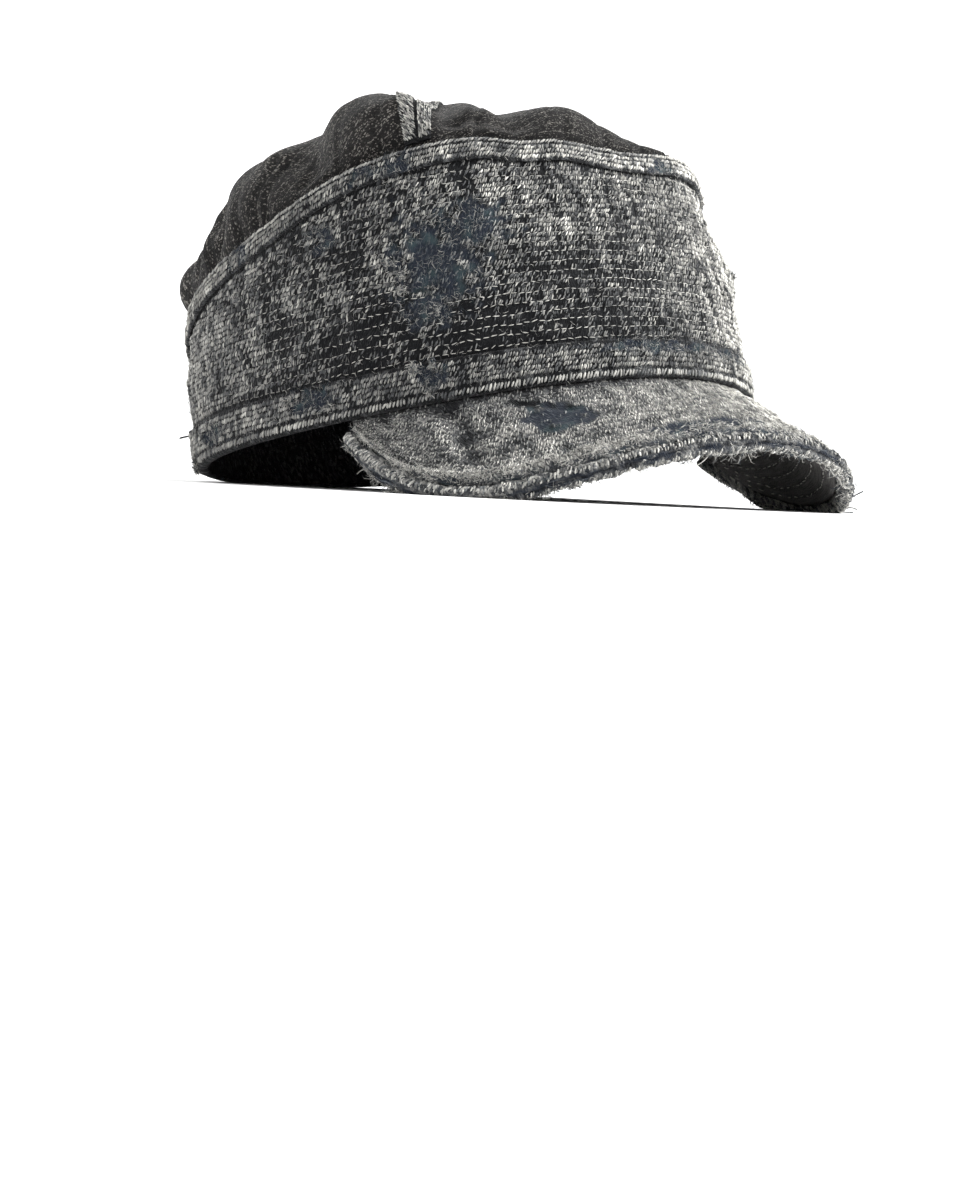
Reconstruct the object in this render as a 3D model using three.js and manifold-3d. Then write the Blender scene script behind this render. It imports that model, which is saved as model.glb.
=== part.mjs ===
// A soft denim work cap: a floppy gathered crown inside a tall slanting band, with a short arched peak.
// Millimetres and degrees, +Z up, the peak towards -Y. Turns go round the rim from the middle of the front.
// Shapes are worked out in the cap's own frame, whose plane z = 0 is the rim. Then the cap is stood on a
// table, where it leans back on the back of its rim and on the two low corners of its peak.
import * as THREE from "three";
import Module from "manifold-3d";
import { mergeVertices } from "three/addons/utils/BufferGeometryUtils.js";

// The gap between neighbouring pieces
const seamGap = 0.35;

// Rim: an oval over the outside of the cloth
const rimHalfWidth = 83.5;
const rimHalfLength = 100.5;
const rimFrontLift = 10.5;
const rimBackDrop = 1.2;

// Band: one tall wall whose top edge is squarer, lies further back, and falls towards the back
const bandWall = 2.4;
const bandHeight = 88;
const bandTopHalfWidth = 80;
const bandTopHalfLength = 85;
const bandTopSetBack = 9.8;
const bandTopSquareness = 2.25;
const bandBelly = 3;

// Hems: folded strips over the band's two edges
const hemThickness = 1.1;
const topHemHeight = 7.5;
const bottomHemHeight = 13;

// Crown: a thin soft cap of cloth that starts inside the band and billows over its edge
const crownHeight = 113;
const crownWall = 1.5;
const crownTuck = 8;
const crownFullness = 0.9;

// The shares of the way in from the crown's edge where its folds start and where they are full
const foldStart = 0.015;
const foldFull = 0.12;

// Seam strip: a felled strip of the band's cloth that runs over the crown from side to side
const stripHalfWidth = 5.2;
const stripThickness = 1;
const stripStartTurn = -48;
const stripEndTurn = 132;
const stripClearOfHem = 3;

// Peak: an arched crescent, cloth above and lining below, in a rolled raw edge
const peakHalfTurn = 73.5;
const peakReach = 33;
const peakSpread = 17;
const peakFrontDrop = 21;
const peakCornerDrop = 25.5;
const peakShoulder = 5.4;
const peakRounding = 0.9;
const peakEnd = 0.99;
const peakClothThickness = 2;
const peakLiningThickness = 1.3;
const peakEdgeWidth = 5.2;
const peakEdgeThickness = 4.8;
const peakEdgeRoughness = 0.35;
const peakEdgeLumps = 14;

// How deep the cloth is pressed flat where it rests
const pressDepth = 0.9;

// Round the cap from front to back: the band's top edge as a share of bandHeight, and how far the wall
// swells between its edges as a share of bandBelly
const bandSections = [
  { turn: 0, top: 0.995, belly: 1 },
  { turn: 30, top: 1.035, belly: 1 },
  { turn: 60, top: 0.962, belly: 0.9 },
  { turn: 90, top: 0.785, belly: 0.8 },
  { turn: 120, top: 0.62, belly: 0.8 },
  { turn: 150, top: 0.45, belly: 0.8 },
  { turn: 180, top: 0.336, belly: 0.8 },
];

// Places where the top edge buckles: depth is a share of bandHeight, spread is in degrees
const topDips = [
  { turn: -27, spread: 7, depth: 0.025 },
  { turn: 44, spread: 22, depth: 0.055 },
  { turn: 158, spread: 12, depth: 0.02 },
];

// Soft dents in the band: rise is 0 at the rim and 1 at the top, depth is a share of bandBelly
const bandDents = [
  { turn: 48, rise: 0.57, spread: 14, height: 0.12, depth: -0.9 },
  { turn: 44, rise: 0.85, spread: 16, height: 0.14, depth: 0.9 },
  { turn: -8, rise: 0.55, spread: 22, height: 0.3, depth: 0.4 },
  { turn: -62, rise: 0.35, spread: 16, height: 0.3, depth: -0.4 },
  { turn: -118, rise: 0.5, spread: 10, height: 0.35, depth: 0.5 },
  { turn: 128, rise: 0.5, spread: 12, height: 0.35, depth: 0.6 },
];

// Folds of the crown. Each runs between two places, given by a turn and by out, which is 0 at the top of
// the crown and 1 at its edge. Width is a share of that way out, and lift a share of crownHeight, negative
// in a crease.
const crownFolds = [
  { turnA: -62, outA: 0.34, turnB: -57, outB: 0.72, width: 0.19, lift: 0.088 },
  { turnA: -120, outA: 0.3, turnB: -76, outB: 0.84, width: 0.1, lift: -0.055 },
  { turnA: -112, outA: 0.62, turnB: -98, outB: 0.84, width: 0.16, lift: 0.032 },
  { turnA: -150, outA: 0.6, turnB: -112, outB: 0.86, width: 0.09, lift: -0.045 },
  { turnA: -158, outA: 0.86, turnB: -122, outB: 0.9, width: 0.11, lift: 0.045 },
  { turnA: -95, outA: 0.12, turnB: -41, outB: 0.82, width: 0.07, lift: -0.035 },
  { turnA: -30, outA: 0.4, turnB: -35, outB: 0.74, width: 0.08, lift: 0.02 },
  { turnA: 45, outA: 0.12, turnB: -28, outB: 0.84, width: 0.08, lift: -0.035 },
  { turnA: 34, outA: 0.5, turnB: 40, outB: 0.85, width: 0.4, lift: -0.04 },
  { turnA: 10, outA: 0.35, turnB: -12, outB: 0.72, width: 0.18, lift: 0.04 },
  { turnA: 75, outA: 0.3, turnB: 72, outB: 0.85, width: 0.1, lift: -0.035 },
  { turnA: 100, outA: 0.35, turnB: 104, outB: 0.8, width: 0.16, lift: 0.03 },
  { turnA: 128, outA: 0.3, turnB: 142, outB: 0.85, width: 0.1, lift: -0.04 },
  { turnA: 175, outA: 0.4, turnB: 170, outB: 0.82, width: 0.15, lift: 0.04 },
];

// How finely the cloth is divided
const turnCount = 64;
const bandRows = 5;
const crownRows = 13;
const stripSteps = 34;
const stripColumns = 3;
const peakSteps = 38;
const peakRows = 4;
const edgeSteps = 56;
const edgeSides = 8;
const leanSteps = 40;
const tangentReach = 0.004;
const weldDistance = 1e-4;

const wornGrey = new THREE.MeshStandardMaterial({ color: 0x6b6d70, roughness: 0.95, metalness: 0 });
const hemGrey = new THREE.MeshStandardMaterial({ color: 0x5c5e62, roughness: 0.95, metalness: 0 });
const paleGrey = new THREE.MeshStandardMaterial({ color: 0x8a8b88, roughness: 0.95, metalness: 0 });
const charcoal = new THREE.MeshStandardMaterial({ color: 0x35332f, roughness: 0.9, metalness: 0 });
const blackCloth = new THREE.MeshStandardMaterial({ color: 0x1f1d1d, roughness: 0.92, metalness: 0 });

const wasm = await Module();
wasm.setup();

const radians = THREE.MathUtils.degToRad;
const steps = (count, from, to) =>
  Array.from({ length: count + 1 }, (_, i) => from + ((to - from) * i) / count);
const sum = (values) => values.reduce((total, value) => total + value, 0);
const bump = (distance, spread) => Math.exp(-((distance / spread) ** 2));
const turnsRound = steps(turnCount, -180, 180).slice(0, turnCount);

// The shorter way round from one turn to another
const turnBetween = (a, b) => ((((b - a + 180) % 360) + 360) % 360) - 180;

// Reads a column of bandSections at any turn, alike on both sides, with a smooth step from row to row.
function readSections(turn, column) {
  const at = Math.abs(turnBetween(0, turn));
  const next = Math.max(
    1,
    bandSections.findIndex((row) => row.turn >= at),
  );
  const mirrored = [bandSections[1], ...bandSections, bandSections.at(-2)];
  const [p0, p1, p2, p3] = mirrored.slice(next - 1, next + 3).map((row) => row[column]);
  const t = (at - bandSections[next - 1].turn) / (bandSections[next].turn - bandSections[next - 1].turn);
  return p1 + (t / 2) * (p2 - p0 + t * (2 * p0 - 5 * p1 + 4 * p2 - p3 + t * (3 * (p1 - p2) + p3 - p0)));
}

// Height of the rim above its own plane: it lifts in front and dips at the back.
function rimHeight(turn) {
  const front = (1 + Math.cos(radians(turn))) / 2;
  return rimFrontLift * front ** 3 - rimBackDrop * (1 - front) ** 2;
}

function topHeight(turn) {
  const dips = topDips.map((row) => row.depth * bump(turnBetween(row.turn, turn), row.spread));
  return bandHeight * (readSections(turn, "top") - sum(dips));
}

// Outwards in plan, at right angles to the rim
function outwardAt(turn) {
  const a = radians(turn);
  return new THREE.Vector3(Math.sin(a) / rimHalfWidth, -Math.cos(a) / rimHalfLength, 0).normalize();
}

function rimPoint(turn) {
  const a = radians(turn);
  return new THREE.Vector3(rimHalfWidth * Math.sin(a), -rimHalfLength * Math.cos(a), rimHeight(turn));
}

function topPoint(turn) {
  const c = Math.cos(radians(turn));
  const s = Math.sin(radians(turn));
  const power = bandTopSquareness;
  const round = (Math.abs(c) ** power + Math.abs(s) ** power) ** (-1 / power);
  const y = bandTopSetBack - bandTopHalfLength * c * round;
  return new THREE.Vector3(bandTopHalfWidth * s * round, y, topHeight(turn));
}

// A point on the band: rise is 0 at the rim and 1 at the top edge, inset is measured inwards from its face.
function bandPoint(turn, rise, inset = 0) {
  const dents = bandDents.map((row) => {
    const across = bump(turnBetween(row.turn, turn), row.spread);
    return row.depth * across * bump(rise - row.rise, row.height);
  });
  const swell = bandBelly * (readSections(turn, "belly") - sum(dents)) * Math.sin(Math.PI * rise);
  return rimPoint(turn).lerp(topPoint(turn), rise).addScaledVector(outwardAt(turn), swell - inset);
}

// The share of the band's height that a length up its wall makes
function bandShare(turn, length) {
  return length / rimPoint(turn).distanceTo(topPoint(turn));
}

// The crown without folds: a full dome that stands up inside the band's edge.
function crownBase(turn, out) {
  const edge = topPoint(turn).addScaledVector(outwardAt(turn), -(bandWall + seamGap));
  const angle = (Math.PI / 2) * (1 - out);
  const inwards = Math.cos(angle) ** crownFullness;
  const upwards = Math.sin(angle) ** crownFullness;
  const y = bandTopSetBack + (edge.y - bandTopSetBack) * inwards;
  return new THREE.Vector3(edge.x * inwards, y, edge.z + (crownHeight - edge.z) * upwards);
}

// A place on the crown drawn as a flat disc of radius 1
const discPlace = (turn, out) =>
  new THREE.Vector2(Math.sin(radians(turn)), -Math.cos(radians(turn))).multiplyScalar(out);

function distanceToFold(place, fold) {
  const start = discPlace(fold.turnA, fold.outA);
  const along = discPlace(fold.turnB, fold.outB).sub(start);
  const share = THREE.MathUtils.clamp(place.clone().sub(start).dot(along) / along.lengthSq(), 0, 1);
  return place.distanceTo(start.addScaledVector(along, share));
}

// How far the folds push the crown's cloth out; they fade where it meets the band.
function crownLift(turn, out) {
  const place = discPlace(turn, out);
  const lifts = crownFolds.map((fold) => fold.lift * bump(distanceToFold(place, fold), fold.width));
  return crownHeight * sum(lifts) * THREE.MathUtils.smoothstep(1 - out, foldStart, foldFull);
}

// A point on the crown, pushed out of or into it along the line from a place low in its middle.
function crownPoint(turn, out, inset = 0) {
  const base = crownBase(turn, out);
  const middle = new THREE.Vector3(0, bandTopSetBack, crownHeight / 3);
  return base.clone().addScaledVector(base.clone().sub(middle).normalize(), crownLift(turn, out) - inset);
}

// The stretch of the crown that is tucked into the band, at a depth below its edge
function crownTuckPoint(turn, depth, inset = 0) {
  const drop = bandPoint(turn, 1 - bandShare(turn, depth)).sub(topPoint(turn));
  return crownBase(turn, 1).add(drop).addScaledVector(outwardAt(turn), -inset);
}

// The way that the peak's cloth runs out from the rim. Along is -1 and 1 at its two corners.
const peakRun = (along) =>
  new THREE.Vector3(peakSpread * along, -peakReach, -peakFrontDrop - peakCornerDrop * along ** 2);

// The way down through the peak's cloth
function peakUnder(along) {
  const across = new THREE.Vector3(0, 0, 1).cross(outwardAt(along * peakHalfTurn));
  return across.cross(peakRun(along)).normalize();
}

// How far the peak reaches at each place along it, as a share of its full run, down to none at its corners
const peakWidth = (along) => Math.max(0, 1 - Math.abs(along) ** peakShoulder) ** peakRounding;

// A point on the peak: out is 0 at the root and 1 at the free edge, inset is measured down into the cloth.
function peakPoint(along, out, inset = 0) {
  const turn = along * peakHalfTurn;
  const rootInset = (bandWall - hemThickness - seamGap) / 2;
  const root = rimPoint(turn).addScaledVector(outwardAt(turn), -rootInset);
  root.z -= seamGap;
  root.addScaledVector(peakRun(along), peakWidth(along) * out);
  return root.addScaledVector(peakUnder(along), inset);
}

const peakDepth = peakClothThickness + seamGap + peakLiningThickness;

// A point on the rolled edge at an angle round its own middle line
function peakEdgePoint(along, round) {
  const tangent = peakPoint(along + tangentReach, 1).sub(peakPoint(along - tangentReach, 1)).normalize();
  const under = peakUnder(along);
  const outward = under.clone().cross(tangent).normalize();
  const rough = peakEdgeRoughness * Math.sin(peakEdgeLumps * Math.PI * along + 2 * round);
  return peakPoint(along, 1, peakDepth / 2)
    .addScaledVector(outward, seamGap + peakEdgeWidth / 2 + (peakEdgeWidth / 2 + rough) * Math.cos(round))
    .addScaledVector(under, (peakEdgeThickness / 2 + rough) * Math.sin(round));
}

// Places along the peak, closer together near its corners, up to just short of them
const easeToCorners = (share) => peakEnd * Math.sin((Math.PI / 2) * share);

// Leans the cap back until the back of its rim and its peak's lowest places are level.
function findLean() {
  const heightAt = (point, lean) => point.z * Math.cos(lean) - point.y * Math.sin(lean);
  const places = steps(edgeSteps, -1, 1).map((share) => peakEdgePoint(easeToCorners(share), Math.PI / 2));
  let low = 0;
  let high = radians(45);
  for (let i = 0; i < leanSteps; i += 1) {
    const middle = (low + high) / 2;
    const lowest = Math.min(...places.map((place) => heightAt(place, middle)));
    if (lowest < heightAt(rimPoint(180), middle)) low = middle;
    else high = middle;
  }
  return low;
}

const lean = findLean();
const standHeight = rimPoint(180).y * Math.sin(lean) - rimPoint(180).z * Math.cos(lean) - pressDepth;

function stand(point) {
  const y = point.y * Math.cos(lean) + point.z * Math.sin(lean);
  const z = point.z * Math.cos(lean) - point.y * Math.sin(lean) + standHeight;
  return new THREE.Vector3(point.x, y, Math.max(z, 0));
}

// Lids over the first and the last outline, laddered between their two sides
function putLids(put, first, last) {
  for (let j = 0; j < first.length / 2 - 1; j += 1) {
    const k = first.length - 1 - j;
    put(first[j], first[j + 1], first[k - 1]);
    put(first[j], first[k - 1], first[k]);
    put(last[j], last[k - 1], last[j + 1]);
    put(last[j], last[k], last[k - 1]);
  }
}

// A closed skin over rows of points. Each row is a closed outline, and the rows close on each other or end
// in lids.
function skin(rows, { closed }) {
  const positions = [];
  const put = (a, b, c) => {
    if (a.equals(b) || b.equals(c) || c.equals(a)) return;
    positions.push(...a.toArray(), ...b.toArray(), ...c.toArray());
  };
  const columns = rows[0].length;
  for (let i = 0; i < (closed ? rows.length : rows.length - 1); i += 1) {
    const here = rows[i];
    const next = rows[(i + 1) % rows.length];
    for (let j = 0; j < columns; j += 1) {
      const k = (j + 1) % columns;
      put(here[j], next[j], next[k]);
      put(here[j], next[k], here[k]);
    }
  }
  if (!closed) putLids(put, rows[0], rows.at(-1));
  const geometry = new THREE.BufferGeometry();
  geometry.setAttribute("position", new THREE.Float32BufferAttribute(positions, 3));
  geometry.computeVertexNormals();
  return geometry;
}

// A wall round the cap: up one face and down the other, at every turn.
function wall(rises, outer, inner) {
  const rows = turnsRound.map((turn) => [
    ...rises.map((rise) => stand(outer(turn, rise))),
    ...rises.toReversed().map((rise) => stand(inner(turn, rise))),
  ]);
  return skin(rows, { closed: true });
}

function makeBand() {
  const face = (inset) => (turn, rise) => {
    const hem = bandShare(turn, hemThickness + seamGap);
    return bandPoint(turn, hem + rise * (1 - 2 * hem), inset);
  };
  return wall(steps(bandRows, 0, 1), face(0), face(bandWall));
}

// A hem is a flap on the band's face that turns over the band's edge. Lengths run from that edge along the
// wall.
function makeHem(height, atTop) {
  const rows = turnsRound.map((turn) => {
    const place = (length, inset) => {
      const share = bandShare(turn, length);
      return stand(bandPoint(turn, atTop ? 1 - share : share, inset));
    };
    const outline = [
      place(0, bandWall),
      place(0, -seamGap),
      place(hemThickness / 2, -seamGap - hemThickness),
      place(height / 2, -seamGap - hemThickness),
      place(height, -seamGap - hemThickness),
      place(height, -seamGap),
      place(hemThickness, -seamGap),
      place(hemThickness, bandWall),
    ];
    return atTop ? outline.reverse() : outline;
  });
  return skin(rows, { closed: true });
}

function makeCrown() {
  const depths = [crownTuck, crownTuck / 2];
  const face = (inset) => (turn, out) =>
    out > 1 ? crownTuckPoint(turn, out - 1, inset) : crownPoint(turn, out, inset);
  return wall([...depths.map((depth) => 1 + depth), ...steps(crownRows, 1, 0)], face(0), face(crownWall));
}

// Everything under the crown's face, a gap proud of it, as one closed lump
function makeCrownBlock() {
  const outs = steps(crownRows, 1, 0);
  const rows = turnsRound.map((turn) => [
    ...outs.map((out) => stand(crownPoint(turn, out, -seamGap))),
    stand(crownPoint(0, 0, crownHeight / 2)),
  ]);
  return skin(rows, { closed: true });
}

function toSolid(geometry) {
  const bare = geometry.clone();
  bare.deleteAttribute("normal");
  const merged = mergeVertices(bare, weldDistance);
  const vertProperties = new Float32Array(merged.getAttribute("position").array);
  const triVerts = new Uint32Array(merged.index.array);
  return new wasm.Manifold(new wasm.Mesh({ numProp: 3, vertProperties, triVerts }));
}

function fromSolid(solid) {
  const mesh = solid.getMesh();
  const geometry = new THREE.BufferGeometry();
  geometry.setAttribute("position", new THREE.Float32BufferAttribute(mesh.vertProperties, 3));
  geometry.setIndex(Array.from(mesh.triVerts));
  geometry.computeVertexNormals();
  return geometry;
}

// The strip is laid over the crown in one straight line of the flat disc, and its underside is cut to the
// crown.
function makeStrip() {
  const start = discPlace(stripStartTurn, 1 - stripClearOfHem / crownHeight);
  const end = discPlace(stripEndTurn, 1 - stripClearOfHem / crownHeight);
  const side = end.clone().sub(start).normalize().rotateAround(new THREE.Vector2(), Math.PI / 2);
  const rows = steps(stripSteps, 0, 1).map((share) => {
    const line = (inset) =>
      steps(stripColumns, -stripHalfWidth, stripHalfWidth).map((across) => {
        const place = start.clone().lerp(end, share).addScaledVector(side, across / bandTopHalfWidth);
        const turn = THREE.MathUtils.radToDeg(Math.atan2(place.x, -place.y));
        return stand(crownPoint(turn, Math.min(place.length(), 1), inset));
      });
    return [...line(-seamGap - stripThickness), ...line(stripThickness).reverse()];
  });
  return fromSolid(toSolid(skin(rows, { closed: false })).subtract(toSolid(makeCrownBlock())));
}

function makePeakLayer(top, thickness) {
  const outs = steps(peakRows, 0, 1);
  const rows = steps(peakSteps, -1, 1).map((share) => {
    const along = easeToCorners(share);
    return [
      ...outs.map((out) => stand(peakPoint(along, out, top + thickness))),
      ...outs.toReversed().map((out) => stand(peakPoint(along, out, top))),
    ];
  });
  return skin(rows, { closed: false });
}

function makePeakEdge() {
  const rounds = steps(edgeSides, 0, 2 * Math.PI).slice(0, edgeSides);
  const rows = steps(edgeSteps, -1, 1).map((share) =>
    rounds.map((round) => stand(peakEdgePoint(easeToCorners(share), -round))),
  );
  return skin(rows, { closed: false });
}

function addPiece(group, name, geometry, material) {
  const mesh = new THREE.Mesh(geometry, material);
  mesh.name = name;
  group.add(mesh);
}

const cap = new THREE.Group();
addPiece(cap, "crown", makeCrown(), charcoal);
addPiece(cap, "crown_seam_strip", makeStrip(), paleGrey);
addPiece(cap, "band", makeBand(), wornGrey);
addPiece(cap, "band_top_hem", makeHem(topHemHeight, true), hemGrey);
addPiece(cap, "band_bottom_hem", makeHem(bottomHemHeight, false), hemGrey);
addPiece(cap, "peak", makePeakLayer(0, peakClothThickness), paleGrey);
addPiece(cap, "peak_lining", makePeakLayer(peakClothThickness + seamGap, peakLiningThickness), blackCloth);
addPiece(cap, "peak_rolled_edge", makePeakEdge(), hemGrey);

// The origin lies on the table under the middle of the whole cap.
const bounds = new THREE.Box3().setFromObject(cap);
cap.position.set(-(bounds.min.x + bounds.max.x) / 2, -(bounds.min.y + bounds.max.y) / 2, 0);

export default cap;
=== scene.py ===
"""A soft denim work cap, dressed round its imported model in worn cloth, stitching and frayed edges.

Shapes are worked out in millimetres in the cap's own frame, whose plane z = 0 is the rim. Turns go round
the rim in degrees, from the middle of the front, with the peak towards -Y. placed() then stands the cap on
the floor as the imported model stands, in metres.
"""

from collections import namedtuple

import bmesh
import bpy
import numpy as np
from mathutils import Matrix, Vector


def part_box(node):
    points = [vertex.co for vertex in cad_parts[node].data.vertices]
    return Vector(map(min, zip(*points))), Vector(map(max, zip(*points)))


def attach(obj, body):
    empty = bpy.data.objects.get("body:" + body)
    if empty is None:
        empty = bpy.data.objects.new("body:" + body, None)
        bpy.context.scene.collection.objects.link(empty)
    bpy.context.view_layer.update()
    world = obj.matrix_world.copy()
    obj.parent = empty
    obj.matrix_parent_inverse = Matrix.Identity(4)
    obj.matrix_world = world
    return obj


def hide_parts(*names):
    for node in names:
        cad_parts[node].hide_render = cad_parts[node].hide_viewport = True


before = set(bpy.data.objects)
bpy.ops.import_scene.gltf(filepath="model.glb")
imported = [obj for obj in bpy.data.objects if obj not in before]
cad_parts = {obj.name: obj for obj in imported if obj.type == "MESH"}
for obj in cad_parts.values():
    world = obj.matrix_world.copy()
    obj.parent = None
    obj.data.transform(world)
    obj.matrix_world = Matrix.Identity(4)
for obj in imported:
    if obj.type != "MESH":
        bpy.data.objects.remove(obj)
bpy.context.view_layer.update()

bl_info = {
    "name": "Denim work cap",
    "version": (1, 0, 0),
    "blender": (4, 5, 0),
    "location": "3D View > Sidebar > Cap",
    "description": "Dresses a packed cap with worn cloth, stitching and frayed edges",
    "category": "Object",
}

MM = 0.001
BODY = "root"

# The cap's driving sizes, in millimetres and degrees, as in the model that the frame holds
SEAM_GAP = 0.35
RIM_HALF_WIDTH = 83.5
RIM_HALF_LENGTH = 100.5
RIM_FRONT_LIFT = 10.5
RIM_BACK_DROP = 1.2
BAND_WALL = 2.4
BAND_HEIGHT = 88
BAND_TOP_HALF_WIDTH = 80
BAND_TOP_HALF_LENGTH = 85
BAND_TOP_SET_BACK = 9.8
BAND_TOP_SQUARENESS = 2.25
BAND_BELLY = 3
HEM_THICKNESS = 1.1
TOP_HEM_HEIGHT = 7.5
BOTTOM_HEM_HEIGHT = 13
CROWN_HEIGHT = 113
CROWN_WALL = 1.5
CROWN_TUCK = 8
CROWN_FULLNESS = 0.9
FOLD_START = 0.015
FOLD_FULL = 0.12
STRIP_HALF_WIDTH = 5.2
STRIP_THICKNESS = 1.0
STRIP_START_TURN = -48
STRIP_END_TURN = 132
STRIP_CLEAR_OF_HEM = 3
STRIP_NARROWING = 0.76
STRIP_SHIFT = 1.2
PEAK_HALF_TURN = 73.5
PEAK_REACH = 33
PEAK_SPREAD = 17
PEAK_FRONT_DROP = 21
PEAK_CORNER_DROP = 25.5
PEAK_SHOULDER = 5.4
PEAK_ROUNDING = 0.9
PEAK_END = 0.99
PEAK_CLOTH_THICKNESS = 2
PEAK_LINING_THICKNESS = 1.3
PEAK_EDGE_WIDTH = 5.2
PEAK_EDGE_THICKNESS = 4.8
PRESS_DEPTH = 0.9
LEAN_STEPS = 40
LEAN_PLACES = 57
TANGENT_REACH = 0.004
PART_TURNS = 64
PART_BAND_ROWS = 5

# The cloth's own sizes: rows of running stitches, groups of yarn between them, and the usual way round the
# band for one degree of turn
STITCH_ROW_GAP = 3.3
FIRST_STITCH_ROW = BOTTOM_HEM_HEIGHT + 1.4
NUB_COLUMNS = 196
NUB_ROWS = 64
NUB_ROW_HEIGHT = STITCH_ROW_GAP / 2
MM_PER_DEGREE = 1.6
PEAK_CLOTH_RUN = 38
PEAK_ROW_GAP = 2.4
PEAK_MAP_LENGTH = 39
STRIP_MAP_LENGTH = 215

# How finely each skin is laid out
BAND_COLUMNS, BAND_ROWS, BAND_INNER_ROWS = 540, 64, 9
HEM_COLUMNS, HEM_ROWS, HEM_FOLD_ROWS = 540, 18, 8
CROWN_COLUMNS, CROWN_EDGE_ROWS, CROWN_ROWS, CROWN_INNER_ROWS = 330, 13, 62, 28
CROWN_EDGE_START = 0.9
STRIPES_TURN = 10
STRIP_STEPS, STRIP_COLUMNS = 130, 15
PEAK_STEPS, PEAK_ROWS, PEAK_ROWS_SKIPPED = 320, 40, 5
LINING_STEPS, LINING_ROWS, LINING_ROWS_SKIPPED = 210, 24, 3
EDGE_STEPS, EDGE_SIDES = 540, 28
EDGE_PLACES = (0.002, 0.05)
PEAK_PLACES = (0.002, 0.01)
MERGE_DISTANCE = 1e-6

# How many bits of yarn and fibres lie on each place, and how far apart, as shares where there is no unit
BAND_FIBRES, TOP_HEM_FIBRES, BOTTOM_HEM_FIBRES = 5400, 1400, 2100
LIP_FIBRES, LOWER_LIP_FIBRES, FRINGE_FIBRES, UPPER_FRINGE_FIBRES = 4800, 2600, 4000, 400
EDGE_NUBS = 3600
HEM_STITCH_GAP_MM = 1.15
STRIP_BITS, STRIP_BIT_ROWS = 190, 7
PEAK_NUB_GAP, PEAK_NUB_ROW_GAP, PEAK_NUB_END = 0.0046, 0.05, 0.985
PEAK_STITCH_ROWS, PEAK_STITCH_GAP, PEAK_STITCH_END = (0.1, 0.22, 0.34), 0.0205, 0.9
LINING_STITCH_GAP, LINING_STITCH_ROW_GAP, LINING_STITCH_END = 0.026, 0.13, 0.93

# The studio: lamps with their shares of the key light's power, the floor that sweeps up into a wall, and the
# photograph's frame
CAP_MIDDLE = (0, 0, 0.06)
Lamp = namedtuple("Lamp", "name place target size share")
LAMPS = (
    Lamp("key_light", (0.8, -1.15, 1.1), CAP_MIDDLE, 0.8, 1.0),
    Lamp("fill_light", (-1.5, -0.5, 0.7), CAP_MIDDLE, 1.2, 0.1),
    Lamp("back_light", (0.4, 1.3, 1.1), CAP_MIDDLE, 1.0, 0.35),
    Lamp("wall_light", (0.9, 1.0, 2.2), (3.6, 3.8, 0.9), 1.6, 1.6),
)
AIR_STRENGTH = 0.62
FLOOR_RADIUS, FLOOR_BEND, FLOOR_WALL = 3.0, 1.2, 1.6
FLOOR_COLUMNS, FLOOR_BEND_ROWS = 96, 16
CLIP_START, CLIP_END = 0.005, 50
PHOTO_SIZE = (960, 1200)
PHOTO_RIM_PIXEL = (472.4, 449.1)
PHOTO_FOCAL_PIXELS = 3874
SENSOR = 36.0

# Round the cap, every 30 degrees from front to back: the band's top edge as a share of its height, and how
# far the wall swells between its edges as a share of its belly
SECTION_STEP = 30
SECTION_TOP = np.array([0.995, 1.035, 0.962, 0.785, 0.62, 0.45, 0.336])
SECTION_BELLY = np.array([1, 1, 0.9, 0.8, 0.8, 0.8, 0.8])

Dip = namedtuple("Dip", "turn spread depth")
TOP_DIPS = (Dip(-27, 7, 0.025), Dip(44, 22, 0.055), Dip(158, 12, 0.02))

Dent = namedtuple("Dent", "turn rise spread height depth")
BAND_DENTS = (
    Dent(48, 0.57, 14, 0.12, -0.9),
    Dent(44, 0.85, 16, 0.14, 0.9),
    Dent(-8, 0.55, 22, 0.3, 0.4),
    Dent(-62, 0.35, 16, 0.3, -0.4),
    Dent(-118, 0.5, 10, 0.35, 0.5),
    Dent(128, 0.5, 12, 0.35, 0.6),
)

Fold = namedtuple("Fold", "turn_a out_a turn_b out_b width lift")
CROWN_FOLDS = (
    Fold(-62, 0.34, -57, 0.72, 0.19, 0.088),
    Fold(-120, 0.3, -76, 0.84, 0.1, -0.055),
    Fold(-112, 0.62, -98, 0.84, 0.16, 0.032),
    Fold(-150, 0.6, -112, 0.86, 0.09, -0.045),
    Fold(-158, 0.86, -122, 0.9, 0.11, 0.045),
    Fold(-95, 0.12, -41, 0.82, 0.07, -0.035),
    Fold(-30, 0.4, -35, 0.74, 0.08, 0.02),
    Fold(45, 0.12, -28, 0.84, 0.08, -0.035),
    Fold(34, 0.5, 40, 0.85, 0.4, -0.04),
    Fold(10, 0.35, -12, 0.72, 0.18, 0.04),
    Fold(75, 0.3, 72, 0.85, 0.1, -0.035),
    Fold(100, 0.35, 104, 0.8, 0.16, 0.03),
    Fold(128, 0.3, 142, 0.85, 0.1, -0.04),
    Fold(175, 0.4, 170, 0.82, 0.15, 0.04),
)

# How the dressed crown settles over the folds of the model
CROWN_SETTLING = (
    Fold(-52, 0.34, -38, 0.5, 0.2, -0.05),
    Fold(-144, 0.86, -148, 0.95, 0.09, 0.05),
    Fold(-128, 0.88, -120, 0.94, 0.08, -0.042),
    Fold(-76, 0.5, -72, 0.6, 0.09, 0.03),
    Fold(0, 0.55, 22, 0.76, 0.15, -0.036),
    Fold(-98, 0.42, -92, 0.62, 0.07, 0.04),
    Fold(-120, 0.74, -116, 0.84, 0.06, 0.035),
)

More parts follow.
